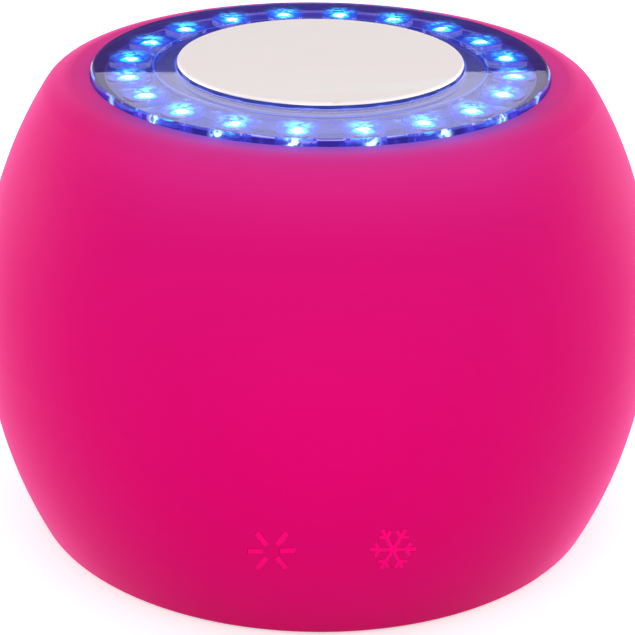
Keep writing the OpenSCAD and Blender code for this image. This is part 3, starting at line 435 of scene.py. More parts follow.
@dataclass(frozen=True)
class Finish:
    """A finish of one tone and a second, with a grain and worn edges.

    Attributes:
        slot: the record's slot that the finish is for.
        tone: the main colour, linear.
        other: the second colour, linear.
        patch_mm: the size of the patches of the two colours.
        grain_mm: the size of the surface's grain.
        depth_mm: the grain's depth.
        roughness: the lowest and the highest roughness.
        metallic: 1 for a bare metal.
        worn: the colour along raised edges, or None.
        specular: the Principled shader's specular level.
        sheen: the soft light of a rubbery or cloth surface at glancing angles.
        sheen_tint: the colour of that light.
        sheen_rough: how far it reaches from the edges.
    """

    slot: Slot
    tone: Rgb
    other: Rgb
    patch_mm: float = 6.0
    grain_mm: float = 0.3
    depth_mm: float = 0.01
    roughness: tuple[float, float] = (0.4, 0.5)
    metallic: float = 0.0
    worn: Optional[Rgb] = None
    specular: float = 0.5
    sheen: float = 0.0
    sheen_tint: Rgb = WHITE
    sheen_rough: float = 0.4

    def colour(self, graph: Graph, effects: Effects) -> Socket:
        """The surface colour.

        Args:
            graph: the material's graph.
            effects: the shared node groups.

        Returns:
            The colour's socket.
        """
        mottle = graph.group(
            effects.mottle, Main_Tone=self.tone, Other_Tone=self.other, Patch_mm=self.patch_mm
        )
        if self.worn is None:
            return mottle.outputs["Color"]
        edge = graph.group(effects.edge_wear)
        return graph.blend(edge.outputs["Mask"], mottle.outputs["Color"], self.worn)

    def height(self, graph: Graph, effects: Effects) -> Socket:
        """The height that the grain's bump is made from.

        Args:
            graph: the material's graph.
            effects: the shared node groups.

        Returns:
            The height's socket.
        """
        return graph.group(effects.grain, Grain_mm=self.grain_mm).outputs["Height"]

    def rough(self, graph: Graph, effects: Effects, height: Socket) -> Socket:
        """The roughness, which follows the grain.

        Args:
            graph: the material's graph.
            effects: the shared node groups; not used here.
            height: the grain's height.

        Returns:
            The roughness socket.
        """
        return graph.remap(height, 0.3, 0.7, *self.roughness)

    def glow(self, graph: Graph, effects: Effects) -> Optional[tuple[Socket, float]]:
        """The light that the surface gives off.

        Args:
            graph: the material's graph; not used here.
            effects: the shared node groups; not used here.

        Returns:
            The colour's socket and the strength, or None where there is no light.
        """
        return None

    def shader(self, graph: Graph, shader: bpy.types.Node) -> None:
        """Sets what is constant on the Principled shader.

        Args:
            graph: the material's graph.
            shader: the Principled node.
        """
        shader.inputs["Metallic"].default_value = self.metallic
        shader.inputs["Specular IOR Level"].default_value = self.specular
        shader.inputs["Sheen Weight"].default_value = self.sheen
        shader.inputs["Sheen Roughness"].default_value = self.sheen_rough
        graph.feed(shader.inputs["Sheen Tint"], self.sheen_tint)

    def make(self, effects: Effects) -> bpy.types.Material:
        """Builds the material.

        Args:
            effects: the shared node groups.

        Returns:
            The material.
        """
        material = bpy.data.materials.new(self.slot.value)
        material.use_nodes = True
        graph = Graph(material.node_tree)
        output = graph.add("ShaderNodeOutputMaterial")
        shader = graph.add("ShaderNodeBsdfPrincipled")
        self.shader(graph, shader)
        height = self.height(graph, effects)
        bump = graph.add("ShaderNodeBump", {"Height": height, "Distance": self.depth_mm * MM})
        graph.feed(shader.inputs["Base Color"], self.colour(graph, effects))
        graph.feed(shader.inputs["Roughness"], self.rough(graph, effects, height))
        graph.feed(shader.inputs["Normal"], bump.outputs[0])
        light = self.glow(graph, effects)
        if light is not None:
            graph.feed(shader.inputs["Emission Color"], light[0])
            shader.inputs["Emission Strength"].default_value = light[1]
        graph.feed(output.inputs["Surface"], shader.outputs[0])
        return material


@dataclass(frozen=True)
class Glow:
    """Painted light that falls off from the ring's edge.

    Attributes:
        reach: how far it reaches, in mm.
        tint: its colour beside the ring, linear.
        spotted: the share that shows as a spot for each lamp.
    """

    reach: float
    tint: Rgb
    spotted: float = 0.0


@dataclass(frozen=True)
class SoftTouch(Finish):
    """The soft-touch coat of the casing, with the lamps' light painted on its shoulder and a painted shade
    close under the ring.

    Attributes:
        glows: the ring's light painted on the casing, which also paints a soft highlight below its shoulder.
        glow_fade: the first and the last place, from 1 in front to -1 behind, of the light's rise.
        glow_behind: the share of the light that is left at the sides and behind.
        shade: the colour of the painted shade close under the ring.
        shade_mm: how far the shade reaches.
        shade_fade: the first and the last place of the shade's rise, as for the light.
        sideways_mm: how far each lamp's spot reaches along the ring's edge.
        top_mm: the height of the casing's top.
    """

    glows: tuple[Glow, ...] = (
        Glow(1.5, (0.0, 0.05, 0.34), 0.25),
        Glow(5.0, (0.07, 0.030, 0.12)),
        Glow(18.0, (0.0, 0.006, 0.04)),
    )
    glow_fade: tuple[float, float] = (0.5, 0.86)
    glow_behind: float = 0.25
    shade: Rgb = (0.15, 0.001, 0.12)
    shade_mm: float = 1.8
    shade_fade: tuple[float, float] = (0.35, 0.75)
    sideways_mm: float = 2.8
    top_mm: float = 40.7

    def _spots(self, reach: float) -> Spots:
        """The places that the ring's light reaches, by its reach in mm."""
        return Spots(reach, self.sideways_mm, RING_RIM_MM, self.top_mm)

    def colour(self, graph: Graph, effects: Effects) -> Socket:
        """The coat's colour, with a painted shade close under the front of the ring.

        Args:
            graph: the material's graph.
            effects: the shared node groups.

        Returns:
            The colour's socket.
        """
        near = self._spots(self.shade_mm).lay(graph, effects)
        front = graph.remap(near.outputs["Front"], *self.shade_fade, 0.0, 1.0)
        share = graph.math("MULTIPLY", near.outputs["Band"], front)
        # painted shade: darker close under the front of the ring
        return graph.blend(share, super().colour(graph, effects), self.shade)

    def glow(self, graph: Graph, effects: Effects) -> Optional[tuple[Socket, float]]:
        """The ring's light painted on the casing, which also paints a soft highlight below its shoulder.

        Args:
            graph: the material's graph.
            effects: the shared node groups.

        Returns:
            The colour's socket and the strength.
        """
        total: Value = NO_LIGHT
        for glow in self.glows:
            spots = self._spots(glow.reach).lay(graph, effects)
            share = graph.math("MULTIPLY", spots.outputs["Band"], 1.0 - glow.spotted)
            share = graph.math("MULTIPLY_ADD", spots.outputs["Mask"], glow.spotted, share)
            front = graph.remap(spots.outputs["Front"], *self.glow_fade, self.glow_behind, 1.0)
            share = graph.math("MULTIPLY", share, front)
            # painted light: each glow's tint is added where the ring's light would reach
            total = graph.blend(share, total, graph.blend(1.0, total, glow.tint, "ADD"))
        return total, 1.0


@dataclass(frozen=True)
class ClearRing(Finish):
    """A polished clear moulding, with the lamps' light in it, their images and their glints painted on as a
    glow.

    Attributes:
        hung: the faint blue light painted all through the moulding.
        light: the painted blue light that hangs in the moulding round each lamp.
        light_spots: where that blue lies.
        light_spotted: the share of it that shows as a spot for each lamp.
        halo: the painted, broken image of each lamp in the moulding's faces.
        halo_spots: where those images lie.
        line: the painted light along the edges of its counterbore and its hole.
        line_mm: the radii of those edges.
        line_w_mm: how far the light reaches from them.
        sparkle: the painted glints, images of the lamps, in the front of its outer edge.
        sparkle_spots: where those images lie.
        sparkle_fade: the first and the last place, from 1 in front to -1 behind, of their rise.
        pocket_tint: the colour of a painted blue shade over the lamps, where they show through it.
        pocket_mm: how far that colour reaches from the lamps' circle.
        edge_tint: the colour of a painted violet shade through its outer edge.
        edge_mm: the radius of that colour's middle and its reach.
        rim_rough: the roughness of that edge, where the mould parts.
        rim_mm: the radius of the rough band's middle and its reach.
        strength: the strength of the whole glow.
        ior: the refractive index.
    """

    hung: Rgb = (0.025, 0.020, 0.09)
    light: Rgb = (0.0, 0.06, 0.82)
    light_spots: Spots = Spots(1.5, 1.7)
    light_spotted: float = 0.55
    halo: Rgb = (0.25, 2.3, 3.0)
    halo_spots: Spots = Spots(0.9, 0.95, height_mm=RING_TOP_MM)
    line: Rgb = (0.1, 0.25, 1.4)
    line_mm: tuple[float, float] = (14.4, 12.5)
    line_w_mm: float = 0.09
    sparkle: Rgb = (2.6, 5.0, 6.5)
    sparkle_spots: Spots = Spots(0.13, 0.42, RING_RIM_MM)
    sparkle_fade: tuple[float, float] = (0.35, 0.75)
    pocket_tint: Rgb = (0.62, 0.58, 0.92)
    pocket_mm: float = 2.2
    edge_tint: Rgb = (0.42, 0.16, 0.62)
    edge_mm: tuple[float, float] = (RING_RIM_MM + 0.1, 0.3)
    rim_rough: float = 0.12
    rim_mm: tuple[float, float] = (RING_RIM_MM + 0.2, 0.5)
    strength: float = 0.45
    ior: float = 1.44

    def _shreds(self, graph: Graph, effects: Effects, share: Socket, colour: Rgb) -> Socket:
        """The lamps' painted images, broken into shreds.

        Args:
            graph: the material's graph.
            effects: the shared node groups.
            share: how much of the images shows.
            colour: their colour where they are brightest.

        Returns:
            The images' light.
        """
        flicker = graph.group(
            effects.flicker, Per_mm=1.9, Detail=1.0, Low=0.43, High=0.57, Dark=0.1, Bright=1.15
        )
        share = graph.math("MULTIPLY", share, flicker.outputs["Share"])
        return graph.blend(share, NO_LIGHT, colour)

    def glow(self, graph: Graph, effects: Effects) -> Optional[tuple[Socket, float]]:
        """The painted light in the moulding: the blue that hangs in it, the lamps' images and the glints at
        its edge.

        Args:
            graph: the material's graph.
            effects: the shared node groups.

        Returns:
            The colour's socket and the strength.
        """
        # painted blue light round each lamp, over a faint painted blue all through
        spots = self.light_spots.lay(graph, effects)
        share = graph.math("MULTIPLY", spots.outputs["Band"], 1.0 - self.light_spotted)
        share = graph.math("MULTIPLY_ADD", spots.outputs["Mask"], self.light_spotted, share)
        total = graph.blend(share, self.hung, self.light)
        # painted light along the edges of the counterbore and the hole
        for radius in self.line_mm:
            edge = Spots(self.line_w_mm, circle_mm=radius, height_mm=RING_TOP_MM).lay(graph, effects)
            total = graph.blend(edge.outputs["Band"], total, self.line)
        # painted, broken images of the lamps in the faces
        images = self.halo_spots.lay(graph, effects).outputs["Mask"]
        total = graph.blend(1.0, total, self._shreds(graph, effects, images, self.halo), "ADD")
        # painted glints in the front of the outer edge
        rim = self.sparkle_spots.lay(graph, effects)
        front = graph.remap(rim.outputs["Front"], *self.sparkle_fade, 0.0, 1.0)
        images = graph.math("MULTIPLY", rim.outputs["Mask"], front)
        total = graph.blend(1.0, total, self._shreds(graph, effects, images, self.sparkle), "ADD")
        return total, self.strength

    def colour(self, graph: Graph, effects: Effects) -> Socket:
        """Clear, with a painted blue shade over the lamps and a painted violet shade through the outer edge.

        Args:
            graph: the material's graph.
            effects: the shared node groups.

        Returns:
            The colour's socket.
        """
        # painted blue shade over the lamps
        pockets = Spots(self.pocket_mm).lay(graph, effects)
        inner = graph.blend(pockets.outputs["Band"], super().colour(graph, effects), self.pocket_tint)
        radius, reach = self.edge_mm
        rim = Spots(reach, circle_mm=radius).lay(graph, effects)
        # painted violet shade through the outer edge
        return graph.blend(graph.remap(rim.outputs["Band"], 0.4, 0.9, 0.0, 1.0), inner, self.edge_tint)

    def rough(self, graph: Graph, effects: Effects, height: Socket) -> Socket:
        """Polished, but for the rim.

        Args:
            graph: the material's graph.
            effects: the shared node groups.
            height: the grain's height; not used here.

        Returns:
            The roughness socket.
        """
        radius, reach = self.rim_mm
        rim = Spots(reach, circle_mm=radius).lay(graph, effects)
        return graph.remap(rim.outputs["Band"], 0.2, 0.8, 0.005, self.rim_rough)

    def shader(self, graph: Graph, shader: bpy.types.Node) -> None:
        """Sets the clear moulding's constants.

        Args:
            graph: the material's graph.
            shader: the Principled node.
        """
        super().shader(graph, shader)
        shader.inputs["Transmission Weight"].default_value = 1.0
        shader.inputs["IOR"].default_value = self.ior


@dataclass(frozen=True)
class LampLens(Finish):
    """The filled cup of a lit lamp: white in the middle, cyan round that, blue at its rim.

    Attributes:
        core: the light in the middle.
        fringe: the light round that.
        rim: the light at the cup's rim.
        spots: where the lamps' images lie.
        strength: the strength of the light.
    """

    core: Rgb = (0.7, 1.0, 1.0)
    fringe: Rgb = (0.0, 0.3, 1.0)
    rim: Rgb = (0.0, 0.01, 0.25)
    spots: Spots = Spots(0.66, 0.58)
    strength: float = 9.0

    def glow(self, graph: Graph, effects: Effects) -> Optional[tuple[Socket, float]]:
        """The lamp's own light.

        Args:
            graph: the material's graph.
            effects: the shared node groups.

        Returns:
            The colour's socket and the strength.
        """
        spots = self.spots.lay(graph, effects)
        flicker = graph.group(
            effects.flicker, Per_mm=2.3, Detail=1.5, Low=0.36, High=0.6, Dark=0.35, Bright=1.1
        )
        image = graph.math("MULTIPLY", spots.outputs["Mask"], flicker.outputs["Share"])
        inner = graph.remap(image, 0.3, 0.62, 0.0, 1.0)
        outer = graph.remap(image, 0.02, 0.3, 0.0, 1.0)
        return graph.blend(inner, graph.blend(outer, self.rim, self.fringe), self.core), self.strength


@dataclass(frozen=True)
class LampBoard(Finish):
    """The board under the lamps, with a painted pool of their blue light on it.

    Attributes:
        light: the colour of that painted light.
        spots: where it falls.
        strength: its strength.
    """

    light: Rgb = (0.005, 0.01, 0.5)
    spots: Spots = Spots(1.8, 2.6)
    strength: float = 0.6

    def glow(self, graph: Graph, effects: Effects) -> Optional[tuple[Socket, float]]:
        """The lamps' light, painted on the board."""
        band = self.spots.lay(graph, effects).outputs["Band"]
        return graph.blend(band, NO_LIGHT, self.light), self.strength


@dataclass(frozen=True)
class TurnedMetal(Finish):
    """A satin metal face with fine rings from turning, inside a polished skirt that carries a painted dark
    blue reflection and shade.

    Attributes:
        pitch_mm: the pitch of the rings.
        ring_share: the share of the rings in the face's relief.
        face_low_mm: the height of the foot of the satin face's rounded edge.
        border_mm: the height over which the satin turns to polish.
        skirt: the skirt's colour, a painted dark blue reflection and shade.
        skirt_rough: its roughness as a share of the face's.
        leak: the lamps' light painted on the skirt.
    """

    pitch_mm: float = 0.12
    ring_share: float = 0.35
    face_low_mm: float = 41.57
    border_mm: float = 0.02
    skirt: Rgb = (0.11, 0.12, 0.26)
    skirt_rough: float = 0.2
    leak: Rgb = (0.0, 0.01, 0.10)

    def _outside(self, graph: Graph) -> Socket:
        """0 on the satin face, 1 on the skirt below it."""
        height = graph.add("ShaderNodeSeparateXYZ", {0: graph.place()}).outputs[2]
        return graph.remap(height, (self.face_low_mm - self.border_mm) * MM, self.face_low_mm * MM, 1.0, 0.0)

    def colour(self, graph: Graph, effects: Effects) -> Socket:
        """The satin colour, and outside it the skirt's painted dark blue reflection and shade."""
        # the skirt's colour is a painted dark blue reflection and shade
        return graph.blend(self._outside(graph), super().colour(graph, effects), self.skirt)

    def rough(self, graph: Graph, effects: Effects, height: Socket) -> Socket:
        """Satin inside, polished outside."""
        polish = graph.remap(self._outside(graph), 0.0, 1.0, 1.0, self.skirt_rough)
        return graph.math("MULTIPLY", super().rough(graph, effects, height), polish)

    def glow(self, graph: Graph, effects: Effects) -> Optional[tuple[Socket, float]]:
        """The lamps' light, painted on the skirt."""
        return graph.blend(self._outside(graph), NO_LIGHT, self.leak), 1.0

    def height(self, graph: Graph, effects: Effects) -> Socket:
        """Mostly blasted grain, with a little of the turned rings.

        Args:
            graph: the material's graph.
            effects: the shared node groups.

        Returns:
            The height's socket.
        """
        rings = graph.group(effects.turned, Pitch_mm=self.pitch_mm).outputs["Height"]
        grain = graph.math("MULTIPLY", super().height(graph, effects), 1.0 - self.ring_share)
        return graph.math("MULTIPLY_ADD", rings, self.ring_share, grain)


@dataclass(frozen=True)
class LitKey(Finish):
    """A translucent key, with the uneven light from behind it painted on as a glow.

    Attributes:
        light: the painted light where it is brightest.
        dim: the painted light where it is faintest.
        uneven_mm: the size of the bright and the faint patches.
    """

    light: Rgb = (0.17, 0.0, 0.03)
    dim: Rgb = (0.12, 0.0, 0.02)
    uneven_mm: float = 2.0

    def glow(self, graph: Graph, effects: Effects) -> Optional[tuple[Socket, float]]:
        """The light that comes through the key, painted as a glow."""
        tones = {"Main_Tone": self.light, "Other_Tone": self.dim, "Patch_mm": self.uneven_mm}
        return graph.group(effects.mottle, **tones).outputs["Color"], 1.0


@dataclass(frozen=True)
class CircuitBoard(Finish):
    """Solder mask over copper tracks.

    Attributes:
        track: the mask's colour over a track.
        cell_mm: the size of the fields between the tracks.
        track_edge: the inner and the outer edge of a track, as shares of a field.
    """

    track: Rgb = (0.06, 0.36, 0.14)
    cell_mm: float = 1 / 0.9
    track_edge: tuple[float, float] = (0.05, 0.12)

    def colour(self, graph: Graph, effects: Effects) -> Socket:
        """The mask's colour, paler over the tracks.

        Args:
            graph: the material's graph.
            effects: the shared node groups.

        Returns:
            The colour's socket.
        """
        tracks = graph.add(
            "ShaderNodeTexVoronoi",
            {"Vector": graph.place(), "Scale": 1 / (self.cell_mm * MM)},
            feature="DISTANCE_TO_EDGE",
            distance="CHEBYCHEV",
        )
        line = graph.remap(tracks.outputs["Distance"], *self.track_edge, 1.0, 0.0)
        return graph.blend(line, super().colour(graph, effects), self.track)


@dataclass(frozen=True)
class Winding(Finish):
    """Enamelled wire wound in close turns.

    Attributes:
        pitch_mm: the pitch of the turns.
        unevenness: how far they stray from straight.
    """

    pitch_mm: float = 0.25 * math.tau
    unevenness: float = 0.4

    def height(self, graph: Graph, effects: Effects) -> Socket:
        """The round backs of the turns.

        Args:
            graph: the material's graph.
            effects: the shared node groups; not used here.

        Returns:
            The height's socket.
        """
        scale = 1 / (WAVE_BANDS * self.pitch_mm * MM)
        wave = graph.add(
            "ShaderNodeTexWave",
            {"Vector": graph.place(), "Scale": scale, "Distortion": self.unevenness},
            bands_direction="Z",
            wave_profile="SIN",
        )
        return wave.outputs["Fac"]


FINISHES: tuple[Finish, ...] = (
    SoftTouch(
        Slot.SHELL, (0.595, 0.0002, 0.120), (0.615, 0.0004, 0.126), 14.0, 0.12, 0.004, (0.42, 0.5),
        specular=0.004, sheen=1.0, sheen_tint=(1.0, 0.19, 0.50), sheen_rough=0.37,
    ),
    Finish(Slot.COVER, (0.56, 0.002, 0.10), (0.60, 0.003, 0.11), 9.0, 0.25, 0.02, (0.5, 0.62), specular=0.3),
    LitKey(Slot.KEY, (0.69, 0.001, 0.14), (0.73, 0.001, 0.155), 3.0, 0.1, 0.003, (0.42, 0.5), specular=0.02),
    Finish(Slot.FOOT, (0.03, 0.028, 0.03), (0.045, 0.04, 0.043), 3.0, 0.15, 0.02, (0.75, 0.9), sheen=0.2),
    ClearRing(Slot.RING, (0.87, 0.86, 0.97), (0.84, 0.83, 0.96), 5.0, 2.0, 0.001, (0.0, 0.02)),
    TurnedMetal(
        Slot.PLATE, (1.0, 0.91, 0.89), (0.97, 0.88, 0.87), 5.0, 0.08, 0.002, (0.34, 0.42), 1.0,
        worn=(1.0, 0.98, 0.97),
    ),
    Finish(Slot.SEAL, (0.72, 0.72, 0.74), (0.66, 0.66, 0.7), 2.0, 0.2, 0.005, (0.4, 0.5), sheen=0.1),
    LampBoard(Slot.LAMP_BOARD, (0.09, 0.07, 0.11), (0.07, 0.055, 0.10), 1.2, 0.3, 0.002, (0.06, 0.1), 1.0),
    # lamp bodies: deep blue, partly a tinted package and partly painted blue light of the lamps
    Finish(Slot.LAMP_BODY, (0.03, 0.05, 0.40), (0.04, 0.07, 0.46), 1.0, 0.1, 0.002, (0.12, 0.2)),
    LampLens(Slot.LAMP_LENS, (0.1, 0.3, 0.8), (0.1, 0.35, 0.85), 1.0, 0.3, 0.001, (0.05, 0.1)),
    CircuitBoard(Slot.BOARD, (0.012, 0.15, 0.05), (0.018, 0.19, 0.06), 2.0, 0.4, 0.01, (0.25, 0.35)),
    Finish(
        Slot.BLACK, (0.02, 0.02, 0.022), (0.032, 0.032, 0.035), 3.0, 0.12, 0.01, (0.42, 0.58),
        worn=(0.1, 0.1, 0.1),
    ),
    Finish(
        Slot.FRAME, (0.72, 0.72, 0.72), (0.66, 0.66, 0.67), 5.0, 0.15, 0.01, (0.4, 0.52),
        worn=(0.82, 0.82, 0.82),
    ),
    Finish(
        Slot.METAL, (0.60, 0.60, 0.61), (0.50, 0.50, 0.52), 1.5, 0.1, 0.003, (0.2, 0.34), 1.0,
        worn=(0.8, 0.8, 0.8),
    ),
    Finish(
        Slot.SINK, (0.72, 0.73, 0.75), (0.62, 0.63, 0.66), 3.0, 0.5, 0.01, (0.28, 0.42), 1.0,
        worn=(0.88, 0.88, 0.9),
    ),
    Finish(Slot.CERAMIC, (0.84, 0.83, 0.79), (0.78, 0.77, 0.74), 3.0, 0.1, 0.006, (0.5, 0.62)),
    Finish(Slot.PAD, (0.20, 0.25, 0.33), (0.16, 0.21, 0.28), 1.5, 0.2, 0.01, (0.6, 0.75)),
    Finish(Slot.PELLET, (0.10, 0.10, 0.115), (0.07, 0.07, 0.085), 0.5, 0.1, 0.01, (0.4, 0.6), 0.8),
    Finish(Slot.BRONZE, (0.52, 0.31, 0.10), (0.42, 0.24, 0.08), 1.0, 0.08, 0.01, (0.4, 0.55), 1.0),
    Winding(Slot.COIL, (0.55, 0.17, 0.05), (0.45, 0.13, 0.04), 1.0, 0.2, 0.05, (0.25, 0.4), 1.0),
    Finish(
        Slot.WEIGHT, (0.20, 0.20, 0.205), (0.15, 0.15, 0.155), 1.0, 0.1, 0.012, (0.42, 0.6), 1.0,
        worn=(0.4, 0.4, 0.4),
    ),
    Finish(Slot.FOIL, (0.56, 0.57, 0.60), (0.48, 0.49, 0.52), 4.0, 2.5, 0.12, (0.3, 0.42), 0.9),
    Finish(Slot.TAPE, (0.70, 0.60, 0.36), (0.62, 0.52, 0.30), 1.5, 0.15, 0.02, (0.7, 0.85)),
    Finish(Slot.NYLON, (0.70, 0.64, 0.50), (0.64, 0.58, 0.45), 2.0, 0.12, 0.008, (0.38, 0.5)),
    Finish(Slot.WIRE, (0.16, 0.008, 0.012), (0.11, 0.006, 0.01), 1.5, 0.2, 0.006, (0.4, 0.55)),
)


class Wardrobe:
    """Holds one material for each finish, and dresses the pieces in them."""

    def __init__(self) -> None:
        """Builds the shared effects and every finish's material."""
        effects = Effects()
        self.materials = {finish.slot: finish.make(effects) for finish in FINISHES}

    def dress_nodes(self, *nodes: str) -> None:
        """Gives CAD nodes the materials that the record's slots ask for.

        Args:
            nodes: the names of the nodes.
        """
        slots = {row["node"]: row["material_slot"] for row in frame["record"]["subparts"]}
        for name in nodes:
            material_slot = frame["nodes"][name].material_slots[0]
            material_slot.link = "OBJECT"
            material_slot.material = self.materials[Slot(slots[name])]
            log.info("node %s: %s", name, slots[name])

    def dress_piece(self, piece: bpy.types.Object, slot: Slot, body: Body) -> None:
        """Gives a new piece its material and its body.

        Args:
            piece: the piece, in place.
            slot: the slot that it takes its finish from.
            body: the body that it rides on.
        """
        piece.data.materials.append(self.materials[slot])
        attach(piece, body.value)
        log.info("piece %s: %s on %s", piece.name, slot.value, body.value)


# Meshes


class MeshKit:
    """Mesh shapes that the sub-assemblies share."""

    @staticmethod
    def finish(name: str, mesh: bmesh.types.BMesh, smooth: bool = True) -> bpy.types.Object:
        """Turns a bmesh into an object in the scene.

        Args:
            name: the object's name.
            mesh: the bmesh, which is freed.
            smooth: True shades it smooth.

        Returns:
            The object.
        """
        bmesh.ops.recalc_face_normals(mesh, faces=mesh.faces)
        data = bpy.data.meshes.new(name)
        mesh.to_mesh(data)
        mesh.free()
        for polygon in data.polygons:
            polygon.use_smooth = smooth
        piece = bpy.data.objects.new(name, data)
        bpy.context.scene.collection.objects.link(piece)
        return piece

    @staticmethod
    def revolve(
        mesh: bmesh.types.BMesh, profile: Sequence[tuple[float, float]], place: Matrix, steps: int = 32
    ) -> None:
        """Adds a solid of revolution whose profile starts and ends on the axis.

        Args:
            mesh: the bmesh to add to.
            profile: radius and height of each point, in metres, from one end to the other.
            place: where the solid goes.
            steps: the number of points round the axis.
        """
        rows: list[list[bmesh.types.BMVert]] = []
        for radius, height in profile:
            if radius == 0:
                rows.append([mesh.verts.new(place @ Vector((0, 0, height)))])
                continue
            turns = [math.tau * i / steps for i in range(steps)]
            round_points = [Vector((radius * math.cos(t), radius * math.sin(t), height)) for t in turns]
            rows.append([mesh.verts.new(place @ point) for point in round_points])
        for low, high in zip(rows, rows[1:]):
            for i in range(steps):
                j = (i + 1) % steps
                corners = [low[i % len(low)], low[j % len(low)], high[j % len(high)], high[i % len(high)]]
                mesh.faces.new(list(dict.fromkeys(corners)))


# Sub-assemblies


@dataclass
class SubAssembly:
    """A group of pieces that are built and dressed together.

    Attributes:
        wardrobe: the materials.
        nodes: the CAD nodes that it dresses.
    """

    wardrobe: Wardrobe
    nodes: tuple[str, ...] = ()

    def build(self) -> None:
        """Dresses the CAD nodes."""
        self.wardrobe.dress_nodes(*self.nodes)


@dataclass
class LampRing(SubAssembly):
    """The clear ring, the circle of lamps under it and their board.

    Attributes:
        count: the number of lamps.
        circle_r: the radius of the lamps' circle, in mm.
        cup_r: the radius of a lamp's filled cup, in mm.
        dome_h: the rise of a lens over its cup, in mm.
        dome_rows: the number of rows of faces in a lens.
    """

    nodes: tuple[str, ...] = ("light_window", "led_board", "led_packages", "led_lenses", "led_wires")
    count: int = LAMP_COUNT
    circle_r: float = LAMP_CIRCLE_MM
    cup_r: float = 1.19
    dome_h: float = 0.45
    dome_rows: int = 8

    def build_lenses(self) -> bpy.types.Object:
        """Builds the lamps' domed lenses.

        Returns:
            One piece with all the lenses.
        """
        low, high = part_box("led_lenses")
        bottom, top = low.z / MM, high.z / MM
        wall_top = top - self.dome_h
        profile = [(0.0, bottom), (self.cup_r, bottom), (self.cup_r, wall_top)]
        for row in range(1, self.dome_rows + 1):
            turn = math.pi / 2 * row / self.dome_rows
            radius = 0.0 if row == self.dome_rows else self.cup_r * math.cos(turn)
            profile.append((radius, wall_top + self.dome_h * math.sin(turn)))
        scaled = [(radius * MM, height * MM) for radius, height in profile]
        mesh = bmesh.new()
        for index in range(self.count):
            turn = math.tau * (index + 0.5) / self.count
            place = Vector((math.cos(turn), math.sin(turn), 0)) * self.circle_r * MM
            MeshKit.revolve(mesh, scaled, Matrix.Translation(place))
        return MeshKit.finish("lamp_lenses", mesh)

    def build(self) -> None:
        """Dresses the ring, and builds and dresses its lenses."""
        super().build()
        lenses = self.build_lenses()
        self.wardrobe.dress_piece(lenses, Slot.LAMP_LENS, Body.CASING)
        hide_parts("led_lenses")


@dataclass
class Casing(SubAssembly):
    """The casing, its base cover, foot ring and screws."""

    nodes: tuple[str, ...] = ("outer_shell", "base_cover", "foot_ring", "base_screws")


@dataclass
class ContactHead(SubAssembly):
    """The contact plate and the cooling module, sink and sensor under it."""

    nodes: tuple[str, ...] = (
        "contact_plate", "plate_seal", "temperature_sensor", "thermal_pads", "peltier_top_plate",
        "peltier_pellets", "peltier_bottom_plate", "heat_sink", "sink_screws", "peltier_wires",
    )


@dataclass
class Keys(SubAssembly):
    """The two keys, their plungers and switches, and the board behind them."""

    nodes: tuple[str, ...] = (
        "heat_key", "cold_key", "heat_plunger", "cold_plunger", "heat_switch", "cold_switch",
        "key_board", "indicator_leds", "key_board_screws", "key_wires",
    )


@dataclass
class Fan(SubAssembly):
    """The fan under the heat sink, and the frame that holds it."""

    nodes: tuple[str, ...] = (
        "inner_frame", "frame_screws", "fan_frame", "fan_bearing", "fan_stator", "fan_rotor",
        "fan_shaft", "fan_screws", "fan_wires",
    )


@dataclass
class Power(SubAssembly):
    """The battery, the vibration motor, the main board and the charging jack."""

    nodes: tuple[str, ...] = (
        "battery_cell", "battery_board", "battery_tape", "battery_wires", "motor_holder", "motor_can",
        "motor_cap", "motor_shaft", "eccentric_weight", "motor_wires", "main_board", "board_parts",
        "board_screws", "charge_jack",
    )


# Studio


@dataclass(frozen=True)
class Softbox:
    """An area light.

    Attributes:
        name: its name.
        place: its place, in metres.
        aim: the point that it faces, in metres.
        size: its width and height, in metres.
        power: its power in watts.
    """

    name: str
    place: Point
    aim: Point
    size: tuple[float, float]
    power: float

    def hang(self) -> None:
        """Adds the light to the scene."""
        light = bpy.data.lights.new(self.name, "AREA")
        light.shape = "RECTANGLE"
        light.size, light.size_y = self.size
        light.energy = self.power
        lamp = bpy.data.objects.new(self.name, light)
        lamp.location = self.place
        lamp.rotation_euler = (Vector(self.aim) - Vector(self.place)).to_track_quat("-Z", "Y").to_euler()
        bpy.context.scene.collection.objects.link(lamp)


